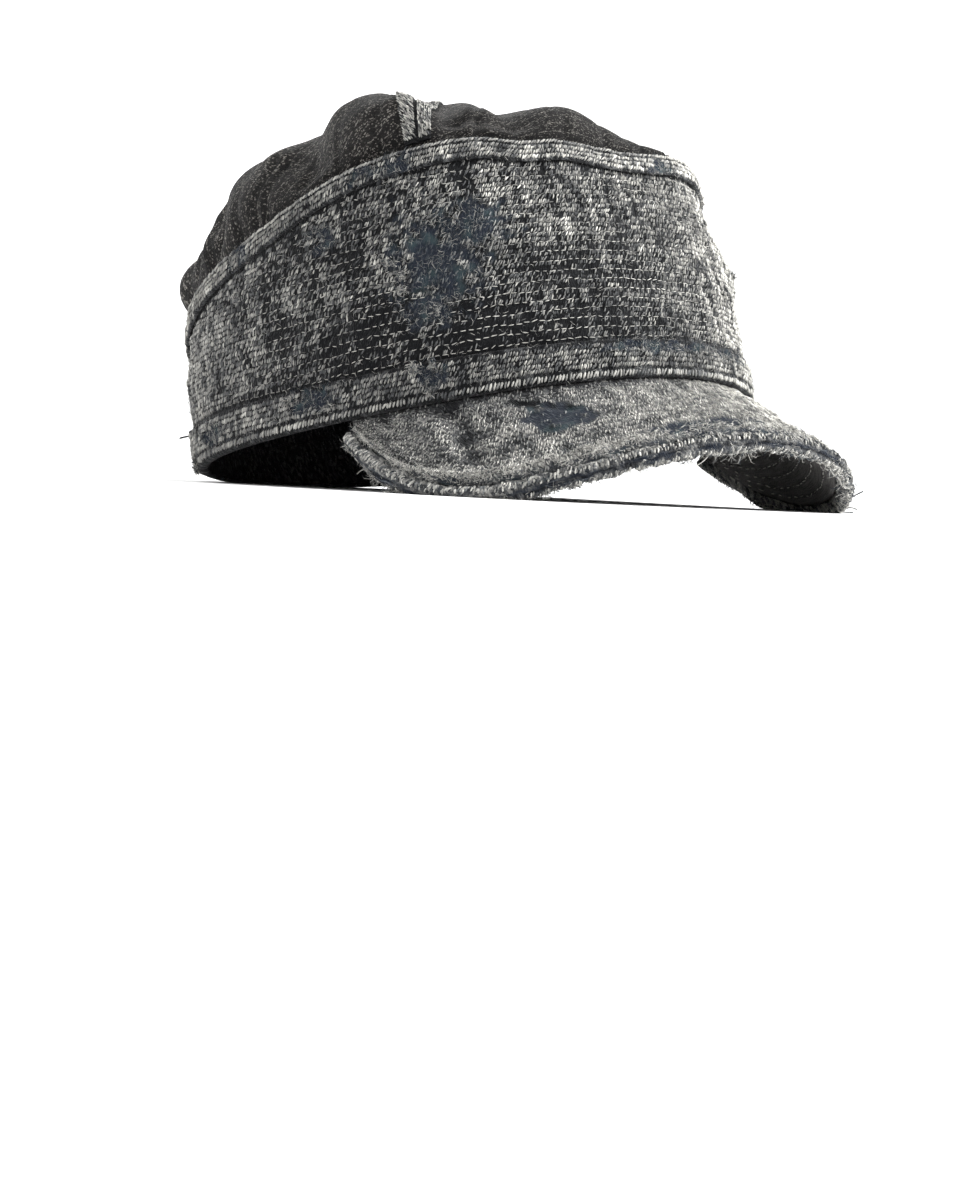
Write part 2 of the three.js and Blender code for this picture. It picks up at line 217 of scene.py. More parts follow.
# Places on the band where the cloth is worn through to indigo: height is up the wall from the rim, both half
# sizes are of an ellipse, and depth is how far the cloth is worn down
Patch = namedtuple("Patch", "turn height half_turn half_height depth")
BAND_PATCHES = (
    Patch(-49, 45, 8.5, 15, 0.6),
    Patch(-40, 56, 7, 7, 0.3),
    Patch(-53, 30, 5, 6, 0.3),
    Patch(-72, 60, 3.4, 3.6, 0.25),
    Patch(118, 30, 7, 9, 0.5),
    Patch(66, 50, 6, 8, 0.3),
    Patch(-140, 22, 6, 4, 0.3),
)
TOP_HEM_PATCHES = (
    Patch(-54, 4.6, 4, 2.8, 0.4),
    Patch(-62, 3.4, 2.5, 2.2, 0.3),
    Patch(-96, 3.5, 4, 2.4, 0.3),
    Patch(12, 4.2, 4, 2.6, 0.4),
    Patch(84, 3.8, 5, 2.6, 0.3),
    Patch(160, 3.8, 6, 2.6, 0.3),
)
BOTTOM_HEM_PATCHES = (
    Patch(-80, 8.5, 5.5, 4.2, 0.5),
    Patch(-55, 8.0, 2.6, 4.0, 0.5),
    Patch(-6, 10.4, 13, 2.0, 0.5),
    Patch(16, 10.2, 9, 1.8, 0.5),
    Patch(-112, 6.5, 5, 3.4, 0.35),
    Patch(48, 8.0, 6, 3.4, 0.4),
    Patch(104, 7.5, 6, 3.4, 0.4),
    Patch(168, 7.0, 6, 3.4, 0.35),
)

# Places where broken yarn stands up in a curled tuft
Tuft = namedtuple("Tuft", "turn height radius count")
BAND_TUFTS = (
    Tuft(-58.5, 47, 2.0, 90),
    Tuft(-56.5, 42, 1.8, 80),
    Tuft(-57, 37, 1.2, 50),
    Tuft(-44, 58, 1.6, 50),
    Tuft(-37, 50, 1.4, 40),
    Tuft(-51, 29, 1.6, 50),
    Tuft(40, 46, 1.8, 60),
    Tuft(32, 69, 1.4, 40),
    Tuft(114, 38, 2.0, 60),
)
BOTTOM_HEM_TUFTS = (
    Tuft(-57.5, 11.2, 2.2, 130),
    Tuft(-54, 12.0, 1.4, 60),
    Tuft(-55.5, 3.5, 1.6, 60),
    Tuft(-85, 10, 1.8, 70),
    Tuft(-76, 4.5, 1.6, 60),
    Tuft(-128, 1.2, 2.0, 80),
    Tuft(-138, 0.8, 2.0, 80),
    Tuft(100, 9, 1.8, 60),
)


def unit(vectors):
    """The vectors at length one."""
    return vectors / np.linalg.norm(vectors, axis=-1, keepdims=True)


def vec(x, y, z):
    """One array of points from three arrays of coordinates."""
    return np.stack(np.broadcast_arrays(x, y, z), axis=-1).astype(float)


def hill(distance, spread):
    """A smooth hill of height one: e to the power of minus the square of distance over spread."""
    return np.exp(-((distance / spread) ** 2))


def fade(value, start, end):
    """Rises smoothly from 0 at start to 1 at end: three squares less two cubes of the share."""
    share = np.clip((value - start) / (end - start), 0, 1)
    return share * share * (3 - 2 * share)


def turns_round(count):
    """A column of turns evenly spaced round the cap, from the middle of the back."""
    return np.arange(count)[:, None] * 360 / count - 180


def turn_between(a, b):
    """The shorter way round from one turn to another."""
    return (b - a + 180) % 360 - 180


def lumps(turn, across, wavelength, seed, perimeter=560.0, count=28, stretch=1.0):
    """Smooth bumps between about -1 and 1 that close round the cap.

    A sum of cosines in random directions. Each has a whole number of waves round the perimeter. A stretch
    over one makes the bumps longer across than round.
    """
    rng = np.random.default_rng(seed)
    way = rng.uniform(0, np.pi, count)
    wave = 2 * np.pi / (wavelength * rng.uniform(0.7, 1.4, count))
    phase = rng.uniform(0, 2 * np.pi, count)
    total = 0
    for k in range(count):
        round_waves = np.round(wave[k] * np.cos(way[k]) * perimeter / (2 * np.pi))
        across_part = across * wave[k] * np.sin(way[k]) / stretch
        total = total + np.cos(np.radians(turn) * round_waves + across_part + phase[k])
    return total * np.sqrt(2 / count) / 1.6


def read_sections(turn, column):
    """A smooth curve through the column's rows, mirrored at front and back.

    Between two rows it is the cubic whose slopes are half the steps between the rows on either side.
    """
    at = np.abs(turn_between(0, turn)) / SECTION_STEP
    low = np.clip(np.floor(at), 0, len(column) - 2).astype(int)
    rows = np.concatenate([column[1:2], column, column[-2:-1]])
    t = at - low
    p0, p1, p2, p3 = (rows[low + k] for k in range(4))
    return p1 + t / 2 * (p2 - p0 + t * (2 * p0 - 5 * p1 + 4 * p2 - p3 + t * (3 * (p1 - p2) + p3 - p0)))


def rim_point(turn):
    """The oval rim: width times sine, minus length times cosine, lifted in front and dipped at the back."""
    a = np.radians(turn)
    front = (1 + np.cos(a)) / 2
    height = RIM_FRONT_LIFT * front**3 - RIM_BACK_DROP * (1 - front) ** 2
    return vec(RIM_HALF_WIDTH * np.sin(a), -RIM_HALF_LENGTH * np.cos(a), height)


def outward_at(turn):
    """Outwards in plan, at right angles to the rim."""
    a = np.radians(turn)
    return unit(vec(np.sin(a) / RIM_HALF_WIDTH, -np.cos(a) / RIM_HALF_LENGTH, 0 * a))


def top_point(turn):
    """The band's top edge: a squarer oval set back, at the height that the sections and dips give."""
    c, s = np.cos(np.radians(turn)), np.sin(np.radians(turn))
    squared = np.abs(c) ** BAND_TOP_SQUARENESS + np.abs(s) ** BAND_TOP_SQUARENESS
    reach = squared ** (-1 / BAND_TOP_SQUARENESS)
    dips = sum(d.depth * hill(turn_between(d.turn, turn), d.spread) for d in TOP_DIPS)
    height = BAND_HEIGHT * (read_sections(turn, SECTION_TOP) - dips)
    return vec(
        BAND_TOP_HALF_WIDTH * s * reach, BAND_TOP_SET_BACK - BAND_TOP_HALF_LENGTH * c * reach, height
    )


def band_point(turn, rise, inset=0.0):
    """The band's wall: a straight line from rim to top edge, swollen by a half sine and dented.

    Rise is 0 at the rim and 1 at the top edge, and inset is measured inwards from the wall's face.
    """
    turn, rise, inset = np.broadcast_arrays(np.asarray(turn, float), rise, inset)
    dents = sum(
        dent.depth * hill(turn_between(dent.turn, turn), dent.spread) * hill(rise - dent.rise, dent.height)
        for dent in BAND_DENTS
    )
    swell = BAND_BELLY * (read_sections(turn, SECTION_BELLY) - dents) * np.sin(np.pi * rise)
    rim, top = rim_point(turn), top_point(turn)
    return rim + (top - rim) * rise[..., None] + outward_at(turn) * (swell - inset)[..., None]


def wall_height(turn):
    """The straight length up the band's wall at each turn."""
    return np.linalg.norm(top_point(turn) - rim_point(turn), axis=-1)


def crown_base(turn, out):
    """The crown without folds: a dome whose level and height follow a cosine and a sine to a power."""
    edge = top_point(turn) - outward_at(turn) * (BAND_WALL + SEAM_GAP)
    angle = np.pi / 2 * (1 - out)
    inwards = np.clip(np.cos(angle), 0, 1) ** CROWN_FULLNESS
    upwards = np.clip(np.sin(angle), 0, 1) ** CROWN_FULLNESS
    y = BAND_TOP_SET_BACK + (edge[..., 1] - BAND_TOP_SET_BACK) * inwards
    return vec(edge[..., 0] * inwards, y, edge[..., 2] + (CROWN_HEIGHT - edge[..., 2]) * upwards)


def disc_place(turn, out):
    """A place on the crown, drawn as a flat disc of radius one."""
    a = np.radians(turn)
    return np.stack(np.broadcast_arrays(np.sin(a) * out, -np.cos(a) * out), axis=-1)


def crown_lift(turn, out, folds):
    """How far the folds push the cloth out: a hill round each fold's line, faded in from the edge."""
    place = disc_place(turn, out)
    total = 0
    for fold in folds:
        start, end = disc_place(fold.turn_a, fold.out_a), disc_place(fold.turn_b, fold.out_b)
        share = np.clip(((place - start) @ (end - start)) / ((end - start) @ (end - start)), 0, 1)
        nearest = start + share[..., None] * (end - start)
        total = total + fold.lift * hill(np.linalg.norm(place - nearest, axis=-1), fold.width)
    return CROWN_HEIGHT * total * fade(1 - out, FOLD_START, FOLD_FULL)


def crown_point(turn, out, lift=0.0):
    """The folded crown, pushed out by lift along the line from a place low in its middle."""
    turn, out = np.broadcast_arrays(np.asarray(turn, float), np.asarray(out, float))
    base = crown_base(turn, out)
    away = unit(base - np.array([0, BAND_TOP_SET_BACK, CROWN_HEIGHT / 3]))
    return base + away * (crown_lift(turn, out, CROWN_FOLDS) + lift)[..., None]


def crown_tuck_point(turn, depth, inset):
    """The stretch of the crown that is tucked into the band, at a depth below its edge."""
    turn, depth, inset = np.broadcast_arrays(np.asarray(turn, float), depth, inset)
    drop = band_point(turn, 1 - depth / wall_height(turn)) - top_point(turn)
    return crown_base(turn, np.ones_like(turn)) + drop - outward_at(turn) * inset[..., None]


def peak_run(along):
    """The way that the peak's cloth runs out from the rim; along is -1 and 1 at its two corners."""
    return vec(PEAK_SPREAD * along, -PEAK_REACH, -PEAK_FRONT_DROP - PEAK_CORNER_DROP * along**2)


def peak_under(along):
    """The way down through the peak's cloth, at right angles to its run and to the rim."""
    across = np.cross([0, 0, 1], outward_at(along * PEAK_HALF_TURN))
    return unit(np.cross(across, peak_run(along)))


def peak_width(along):
    """The peak's reach at each place along it, as a share of its full run."""
    return np.clip(1 - np.abs(along) ** PEAK_SHOULDER, 0, 1) ** PEAK_ROUNDING


def peak_point(along, out, inset=0.0):
    """The peak: out is 0 at the root and 1 at the free edge, inset is measured down into the cloth."""
    along, out, inset = np.broadcast_arrays(np.asarray(along, float), out, inset)
    turn = along * PEAK_HALF_TURN
    root = rim_point(turn) - outward_at(turn) * (BAND_WALL - HEM_THICKNESS - SEAM_GAP) / 2
    root = root - [0, 0, SEAM_GAP]
    return (
        root + peak_run(along) * (peak_width(along) * out)[..., None] + peak_under(along) * inset[..., None]
    )


def peak_edge_point(along, angle, swell=0.0):
    """The rolled edge: an oval tube round the peak's free edge, thicker by swell."""
    along, angle, swell = np.broadcast_arrays(np.asarray(along, float), angle, swell)
    tangent = unit(peak_point(along + TANGENT_REACH, 1.0) - peak_point(along - TANGENT_REACH, 1.0))
    under = peak_under(along)
    outward = unit(np.cross(under, tangent))
    middle = (PEAK_CLOTH_THICKNESS + SEAM_GAP + PEAK_LINING_THICKNESS) / 2
    wide = SEAM_GAP + PEAK_EDGE_WIDTH / 2 + (PEAK_EDGE_WIDTH / 2 + swell) * np.cos(angle)
    deep = (PEAK_EDGE_THICKNESS / 2 + swell) * np.sin(angle)
    return peak_point(along, 1.0, middle) + outward * wide[..., None] + under * deep[..., None]


def ease_to_corners(share):
    """Places along the peak that lie closer together near its corners: a sine of the share."""
    return PEAK_END * np.sin(np.pi / 2 * share)


def find_lean():
    """Halves an angle until the back of the rim is level with the lowest place of the peak's edge."""
    places = peak_edge_point(ease_to_corners(np.linspace(-1, 1, LEAN_PLACES)), np.pi / 2)
    back = rim_point(np.array(180.0))
    low, high = 0.0, np.radians(45)
    for _ in range(LEAN_STEPS):
        middle = (low + high) / 2
        heights = places[:, 2] * np.cos(middle) - places[:, 1] * np.sin(middle)
        if heights.min() < back[2] * np.cos(middle) - back[1] * np.sin(middle):
            low = middle
        else:
            high = middle
    return low


LEAN = find_lean()
RIM_BACK = rim_point(np.array(180.0))
STAND_HEIGHT = RIM_BACK[1] * np.sin(LEAN) - RIM_BACK[2] * np.cos(LEAN) - PRESS_DEPTH


def stood(points):
    """Leans points back about X, lifts them onto the floor and presses flat what would lie below it."""
    y = points[..., 1] * np.cos(LEAN) + points[..., 2] * np.sin(LEAN)
    z = points[..., 2] * np.cos(LEAN) - points[..., 1] * np.sin(LEAN) + STAND_HEIGHT
    return vec(points[..., 0], y, np.maximum(z, 0))


def find_shift():
    """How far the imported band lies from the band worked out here, in plan."""
    turns = turns_round(PART_TURNS)
    hem = (HEM_THICKNESS + SEAM_GAP) / wall_height(turns)
    rises = hem + np.linspace(0, 1, PART_BAND_ROWS + 1) * (1 - 2 * hem)
    walls = np.stack([band_point(turns, rises), band_point(turns, rises, BAND_WALL)])
    here = stood(walls).reshape(-1, 3) * MM
    return np.array(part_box("band")[0]) * [1, 1, 0] - here.min(0) * [1, 1, 0]


SHIFT = find_shift()


def placed(points):
    """Points of the cap's own frame in millimetres, stood in the shared frame in metres."""
    return stood(points) * MM + SHIFT


def far_from(patch, turn, height):
    """How far a place lies from a patch's middle, as a share of the patch's ellipse."""
    return np.hypot(
        turn_between(patch.turn, turn) / patch.half_turn, (height - patch.height) / patch.half_height
    )


def worn_at(turn, height, patches):
    """How worn the cloth is, 0 to 1: inside an ellipse with a ragged edge for each patch."""
    ragged = 0.42 * lumps(turn, height, 7, 11) + 0.22 * lumps(turn, height, 2.6, 12)
    worn = 0
    for p in patches:
        far = far_from(p, turn, height)
        worn = np.maximum(worn, 1 - fade(far + ragged, 0.6, 1.15))
    return worn


def wear_depth(turn, height, patches):
    """How far the patches are worn down, in millimetres, each in a lip that is higher on its near side."""
    depth = 0
    for p in patches:
        far = far_from(p, turn, height)
        lip = hill(far - 1.14, 0.14) * (1 - 0.6 * fade(turn_between(p.turn, turn), -2, 2))
        depth = depth + p.depth * (fade(far, 1.0, 0.7) - 0.5 * lip)
    return depth


def quilting(height):
    """The pull of the rows of running stitches: 1 at a row, falling to 0 between rows."""
    place = (height - FIRST_STITCH_ROW) / STITCH_ROW_GAP
    return hill(place - np.round(place), 0.17)


def nub_tone(turn, height, seed=91):
    """How pale each small group of slanted yarns is, 0 to 1.

    One random value for each cell of a grid, drawn towards those of its column and lifted in every other
    column, so that the groups stand in broken upright lines.
    """
    rng = np.random.default_rng(seed)
    table = 0.2 + 0.42 * rng.beta(1.0, 1.1, (NUB_ROWS, NUB_COLUMNS)) + 0.2 * rng.uniform(0, 1, NUB_COLUMNS)
    shift = rng.uniform(-0.3, 0.3, NUB_ROWS)
    row = np.floor((height - FIRST_STITCH_ROW) / NUB_ROW_HEIGHT).astype(int)
    column = np.floor((turn + 180) / 360 * NUB_COLUMNS + shift[row % NUB_ROWS]).astype(int)
    return np.clip(table[row % NUB_ROWS, column % NUB_COLUMNS] + 0.08 * (-1.0) ** (column % 2), 0, 1)


def band_relief(turn, height):
    """How far the band's cloth stands out of its smooth wall, in millimetres."""
    top = wall_height(turn) - height
    clear = fade(height, BOTTOM_HEM_HEIGHT, BOTTOM_HEM_HEIGHT + 2.5) * fade(
        top, TOP_HEM_HEIGHT, TOP_HEM_HEIGHT + 2.5
    )
    soft = 0.5 * lumps(turn, height, 16, 21) + 0.28 * lumps(turn, height, 6, 22)
    crease = 0.45 * (hill(height - BOTTOM_HEM_HEIGHT, 1.5) + hill(top - TOP_HEM_HEIGHT, 1.5))
    return clear * (soft - 0.32 * quilting(height) - wear_depth(turn, height, BAND_PATCHES)) - crease


def band_face(turn, height, out=0.0):
    """The dressed band at a height up its wall, and out from its cloth."""
    turn, height, out = np.broadcast_arrays(np.asarray(turn, float), height, out)
    return placed(band_point(turn, height / wall_height(turn), -(out + band_relief(turn, height))))


def hem_relief(turn, length, at_top):
    """How far a hem's cloth stands out of its smooth face, in millimetres."""
    seed, height = (31, TOP_HEM_HEIGHT) if at_top else (33, BOTTOM_HEM_HEIGHT)
    patches = TOP_HEM_PATCHES if at_top else BOTTOM_HEM_PATCHES
    soft = 0.26 * lumps(turn, length, 9, seed) + 0.16 * lumps(turn, length, 3.5, seed + 1)
    groove = 0.3 * hill(length - (1.7 if at_top else 3.3), 0.5)
    puff = 0.35 * np.sin(np.pi * np.clip(length / height, 0, 1))
    return soft + puff - groove - wear_depth(turn, length, patches)


def hem_point(turn, length, inset, at_top):
    """A point of a hem: length runs from the band's edge along its wall, inset inwards from its face."""
    share = length / wall_height(turn)
    return band_point(turn, 1 - share if at_top else share, inset)


def hem_face(at_top):
    """The dressed face of a hem as a function of turn, length from the band's edge, and out."""

    def face(turn, length, out=0.0):
        turn, length, out = np.broadcast_arrays(np.asarray(turn, float), length, out)
        proud = SEAM_GAP + HEM_THICKNESS + hem_relief(turn, length, at_top) + out
        return placed(hem_point(turn, length, -proud, at_top))

    return face


def crown_relief(turn, out):
    """Creases that rise from the band, a soft crumple and the crown's settling, in millimetres."""
    way = 1 - out
    edge = fade(way, 0.0, 0.05)
    fan = lumps(turn, way * 26, 30, 41, stretch=7)
    creases = 0.9 - 2.2 * hill(fan - 0.25, 0.16) - 1.6 * hill(fan + 0.45, 0.12)
    crumple = lumps(turn, way * 110, 30, 42) * fade(out, 0.0, 0.35)
    settling = crown_lift(turn, out, CROWN_SETTLING)
    return edge * (creases * (1 - fade(way, 0.2, 0.55)) + 0.4 * crumple) + settling


def crown_face(turn, out, lift=0.0):
    """The dressed crown; out is 0 at its top and 1 at its edge."""
    turn, out, lift = np.broadcast_arrays(np.asarray(turn, float), out, lift)
    return placed(crown_point(turn, out, crown_relief(turn, out) + lift))


def strip_place(share, across):
    """The strip's straight line in the crown's disc, as turn and out."""
    start = disc_place(STRIP_START_TURN, 1 - STRIP_CLEAR_OF_HEM / CROWN_HEIGHT)
    end = disc_place(STRIP_END_TURN, 1 - STRIP_CLEAR_OF_HEM / CROWN_HEIGHT)
    run = unit(end - start)
    side = np.array([-run[1], run[0]])
    share, across = np.broadcast_arrays(np.asarray(share, float), across)
    place = start + (end - start) * share[..., None] + side * (across / BAND_TOP_HALF_WIDTH)[..., None]
    return np.degrees(np.arctan2(place[..., 0], -place[..., 1])), np.clip(
        np.hypot(*np.moveaxis(place, -1, 0)), 0, 1
    )


def strip_face(share, across, out=0.0):
    """The strip's top: two raised halves with a seam sunk between them, over the dressed crown."""
    share, across, out = np.broadcast_arrays(np.asarray(share, float), across, out)
    turn, way_out = strip_place(share, across * STRIP_NARROWING + STRIP_SHIFT)
    halves = 0.3 * np.sqrt(np.clip(np.sin(np.pi * np.abs(across) / STRIP_HALF_WIDTH), 0, 1))
    seam = 0.5 * hill(across, 0.35)
    return crown_face(turn, way_out, STRIP_THICKNESS + halves - seam + out)


def slit_at(along, out):
    """1 along the slit worn through the peak, falling to 0 beside it."""
    line = 0.15 + (along + 0.56) * 1.4
    return hill(out - line, 0.034) * fade(along, -0.58, -0.555) * fade(-along, 0.41, 0.44)


def valley_at(along, out, width):
    """1 along the curled valley near the near corner, falling to 0 beside it."""
    line = -0.775 + 0.1 * out + 0.035 * np.sin(6 * out)
    return hill(along - line, width) * fade(out, 0.0, 0.12) * fade(out, 0.9, 0.6)


def peak_relief(along, out):
    """Rows pressed by the stitching, soft lumps, a slit worn through, a curled valley and a frayed lip."""
    turn = along * PEAK_HALF_TURN
    rows = 0.12 * np.cos(2 * np.pi * out * PEAK_REACH / PEAK_ROW_GAP)
    soft = 0.4 * lumps(turn, out * PEAK_CLOTH_RUN, 11, 51) * fade(out, 0, 0.1)
    roll = 1.5 * valley_at(along + 0.07, out, 0.05) - 1.7 * valley_at(along, out, 0.034)
    lip = 0.9 * hill(out - 0.9, 0.05) * (1 + 0.6 * lumps(turn, 0 * out, 5, 53))
    wide = fade(peak_width(along), 0.05, 0.3)
    return (rows + soft - 0.9 * slit_at(along, out) + roll - 0.35 * peak_worn(along, out) + lip) * wide


def peak_worn(along, out):
    """How worn the peak's cloth is, 0 to 1, below its slit and along its free edge."""
    ragged = 0.25 * lumps(along * PEAK_HALF_TURN, out * PEAK_CLOTH_RUN, 5, 52)
    below_slit = 1 - fade(np.hypot((along + 0.48) / 0.1, (out - 0.4) / 0.17) + ragged, 0.7, 1.15)
    near_edge = 1 - fade(np.hypot((along + 0.2) / 0.14, (out - 0.86) / 0.1) + ragged, 0.8, 1.1)
    at_front = 1 - fade(np.hypot((along + 0.04) / 0.1, (out - 0.82) / 0.09) + ragged, 0.8, 1.1)
    patchy = fade(lumps(along * PEAK_HALF_TURN, out * PEAK_CLOTH_RUN, 9, 54), -0.3, 0.5)
    at_edge = fade(out + 0.05 * ragged, 0.93, 0.96) * (0.35 + 0.6 * patchy)
    return np.maximum.reduce([below_slit, near_edge, at_front, at_edge])


def peak_face(along, out, lift=0.0):
    """The dressed top of the peak."""
    along, out, lift = np.broadcast_arrays(np.asarray(along, float), out, lift)
    return placed(peak_point(along, out, -(peak_relief(along, out) + lift)))


def lining_face(along, out, lift=0.0):
    """The underside of the peak's lining, lifted downwards out of it."""
    along, out, lift = np.broadcast_arrays(np.asarray(along, float), out, lift)
    inset = PEAK_CLOTH_THICKNESS + SEAM_GAP + PEAK_LINING_THICKNESS
    soft = 0.2 * lumps(along * PEAK_HALF_TURN, out * PEAK_CLOTH_RUN, 10, 55)
    return placed(peak_point(along, out, inset + soft + lift))


def edge_relief(along, angle):
    """The ragged swell of the rolled edge: lumps, and long grooves where its layers part."""
    turn = along * PEAK_HALF_TURN
    ragged = 0.5 * lumps(turn, angle * 2.5, 8, 61) + 0.3 * lumps(turn, angle * 2.5, 2.6, 62)
    wander = 0.2 * lumps(turn, 0 * angle, 26, 63)
    grooves = 1.0 * hill(angle + 0.15 + wander, 0.2) + 0.5 * hill(angle + 0.85 + wander, 0.14)
    lower = 0.7 * hill(angle - 0.7, 0.5)
    inner = 0.35 * fade(np.abs(angle), 2.2, 2.8)
    corner = 1 - 0.6 * fade(np.abs(along), 0.9, 1.0)
    return (ragged + lower + inner - grooves) * corner


def edge_face(along, angle, out=0.0):
    """The dressed rolled edge; angle is 0 outwards and a quarter turn downwards."""
    along, angle, out = np.broadcast_arrays(np.asarray(along, float), angle, out)
    return placed(peak_edge_point(along, angle, edge_relief(along, angle) + out))


def frames(surface, a, b, out=0.0, reach=(0.2, 0.2)):
    """Points on a surface, each with three axes: along its first parameter, square to that, and out of it.

    The axes come from the differences between places one reach to each side.
    """
    point = surface(a, b, out)
    across_a = surface(a + reach[0], b, out) - surface(a - reach[0], b, out)
    across_b = surface(a, b + reach[1], out) - surface(a, b - reach[1], out)
    along = unit(across_a)
    normal = unit(np.cross(across_a, across_b))
    return point, along, np.cross(normal, along), normal


def peak_frames(along, out, lift):
    """Places on top of the peak: along it, towards its root, and out of the cloth."""
    point, run, away, down = frames(peak_face, along, out, lift, PEAK_PLACES)
    return point, run, -away, -down


def edge_frames(along, angle, lift):
    """Places on the rolled edge: along it, round it, and out of it."""
    point, run, round_it, inwards = frames(edge_face, along, angle, lift, EDGE_PLACES)
    return point, run, -round_it, -inwards


def spindle(rings, sides):
    """A closed grain along x from -1 to 1: circles of radius root(1 - x^4), and two poles.

    The circles stand at the sines of even steps of a half turn.
    """
    x = np.sin(np.linspace(-np.pi / 2, np.pi / 2, rings + 2))[1:-1]
    radius = np.sqrt(1 - x**4)
    angle = 2 * np.pi * (np.arange(sides) + 0.5) / sides
    circles = (
        vec(x[:, None], radius[:, None] * np.cos(angle), radius[:, None] * np.sin(angle)).reshape(-1, 3)
    )
    points = np.concatenate([[[-1, 0, 0]], circles, [[1, 0, 0]]])
    j = np.arange(sides)
    k = (j + 1) % sides
    last = 1 + (rings - 1) * sides
    faces = [np.stack([0 * j, 1 + k, 1 + j], 1), np.stack([0 * j + len(points) - 1, last + j, last + k], 1)]
    for r in range(rings - 1):
        here = 1 + r * sides
        faces += [np.stack([here + j, here + k, here + sides + k], 1)]
        faces += [np.stack([here + j, here + sides + k, here + sides + j], 1)]
    return points, np.concatenate(faces)


GRAIN = spindle(2, 4)
STROKE = spindle(2, 3)


def lay(template, place, sizes, turned=0.0, bend=0.0, tip=0.0):
    """Copies of a small form at many places, as one joined mesh of points and faces.

    Each copy's x runs along its place's first axis, turned towards the second, and its z out of the
    surface, in half sizes of metres. Bend bows it sideways and tip bows it outwards, by (1 - x^2) times that
    many metres.
    """
    form, faces = template
    point, along, up, normal = (axis[:, None, :] for axis in place)
    count = len(point)
    turned = np.broadcast_to(turned, (count,))[:, None, None]
    bend = np.broadcast_to(bend, (count,))[:, None, None]
    tip = np.broadcast_to(tip, (count,))[:, None, None]
    x_axis = np.cos(turned) * along + np.sin(turned) * up
    y_axis = np.cos(turned) * up - np.sin(turned) * along
    sizes = np.broadcast_to(sizes, (count, 3))[:, None, :]
    bow = (1 - form[None, :, :1] ** 2)
    points = (
        point
        + x_axis * form[None, :, 0:1] * sizes[..., 0:1]
        + y_axis * (form[None, :, 1:2] * sizes[..., 1:2] + bend * bow)
        + normal * (form[None, :, 2:3] * sizes[..., 2:3] + tip * bow)
    )
    joined = faces[None] + (np.arange(count) * len(form))[:, None, None]
    return points.reshape(-1, 3), joined.reshape(-1, 3)


def lay_yarn(rng, place, half_mm, slant, tone, blue=0.0, template=STROKE, loose=0.08, tip=0.0):
    """Bits of yarn at many places, each a little different in size and slant, with its own tone and blue."""
    count = len(place[0])
    half = np.broadcast_to(half_mm, (count, 3)) * MM * rng.uniform(0.75, 1.2, (count, 3))
    angle = np.radians(rng.normal(slant, 9, count))
    points, faces = lay(template, place, half, angle, rng.normal(0, loose, count) * MM, tip)
    tone, blue = (np.repeat(np.broadcast_to(v, (count,)), len(template[0])) for v in (tone, blue))
    return points, faces, tone, blue


def make_yarn(name, slot, material, parts):
    """One mesh of all the bits of yarn in the parts."""
    offset = np.cumsum([0] + [len(part[0]) for part in parts[:-1]])
    points = np.concatenate([part[0] for part in parts])
    faces = np.concatenate([part[1] + start for part, start in zip(parts, offset)])
    tone, blue = (np.concatenate([part[k] for part in parts]) for k in (2, 3))
    return make_piece(name, points, faces, slot, material, tone=tone, blue=blue)


def loose_fibres(rng, place, size, rise, tone, blue=0.0, thick=(0.035, 0.075)):
    """Bowed fibres of about one size, at any angle, that rise off the surface by slopes of about rise."""
    point, along, up, normal = place
    count = len(point)
    angle = rng.uniform(0, 2 * np.pi, count)[:, None]
    lift = np.abs(rng.normal(0, 1, count))[:, None] * rise
    way = unit(along * np.cos(angle) + up * np.sin(angle) + normal * lift)
    across = unit(np.cross(normal, way))
    length = size * rng.uniform(0.4, 1.5, count)
    centre = point + way * (length * 0.45)[:, None]
    half = np.stack([length / 2, *[rng.uniform(*thick, count) * MM] * 2], 1)
    points, faces = lay(STROKE, (centre, way, across, np.cross(way, across)), half, 0.0,
                        rng.normal(0, 0.35, count) * length, rng.normal(0, 0.2, count) * length)
    tone, blue = (np.repeat(np.broadcast_to(v, (count,)), len(STROKE[0])) for v in (tone, blue))
    return points, faces, tone, blue


def shell_faces(rows, columns, closed):
    """Quads over rows of closed outlines. The rows close on each other, or end in ladders of quads."""
    i = np.arange(rows if closed else rows - 1)[:, None]
    j = np.arange(columns)[None, :]
    corners = [(i, j), (i + 1, j), (i + 1, j + 1), (i, j + 1)]
    grid = np.stack([np.broadcast_to(a * (columns + 1) + b, (len(i), columns)) for a, b in corners], -1)
    faces = np.stack([(a % rows) * columns + b % columns + 0 * i * j for a, b in corners], -1)
    grid, faces = grid.reshape(-1, 4), faces.reshape(-1, 4)
    if not closed:
        k = np.arange(columns // 2 - 1)
        ladder = np.stack([k, k + 1, columns - 2 - k, columns - 1 - k], 1)
        far = (rows - 1) * columns + ladder[:, ::-1]
        faces = np.concatenate([faces, ladder, far])
        grid = np.concatenate([grid, ladder, (rows - 1) * (columns + 1) + ladder[:, ::-1]])
    return faces, grid


def shell(points, closed, uv):
    """A closed skin over rows of outlines, with its faces and a map of its corners.

    uv holds a place in millimetres for each point of the rows with one outline and one column more.
    """
    rows, columns = points.shape[:2]
    faces, grid = shell_faces(rows, columns, closed)
    return points.reshape(-1, 3), faces, uv.reshape(-1, 2)[grid].reshape(-1, 2)


def merge_doubles(mesh):
    """Closes a pole or a seam whose points lie in one place."""
    bm = bmesh.new()
    bm.from_mesh(mesh)
    bmesh.ops.remove_doubles(bm, verts=bm.verts, dist=MERGE_DISTANCE)
    bm.to_mesh(mesh)
    bm.free()


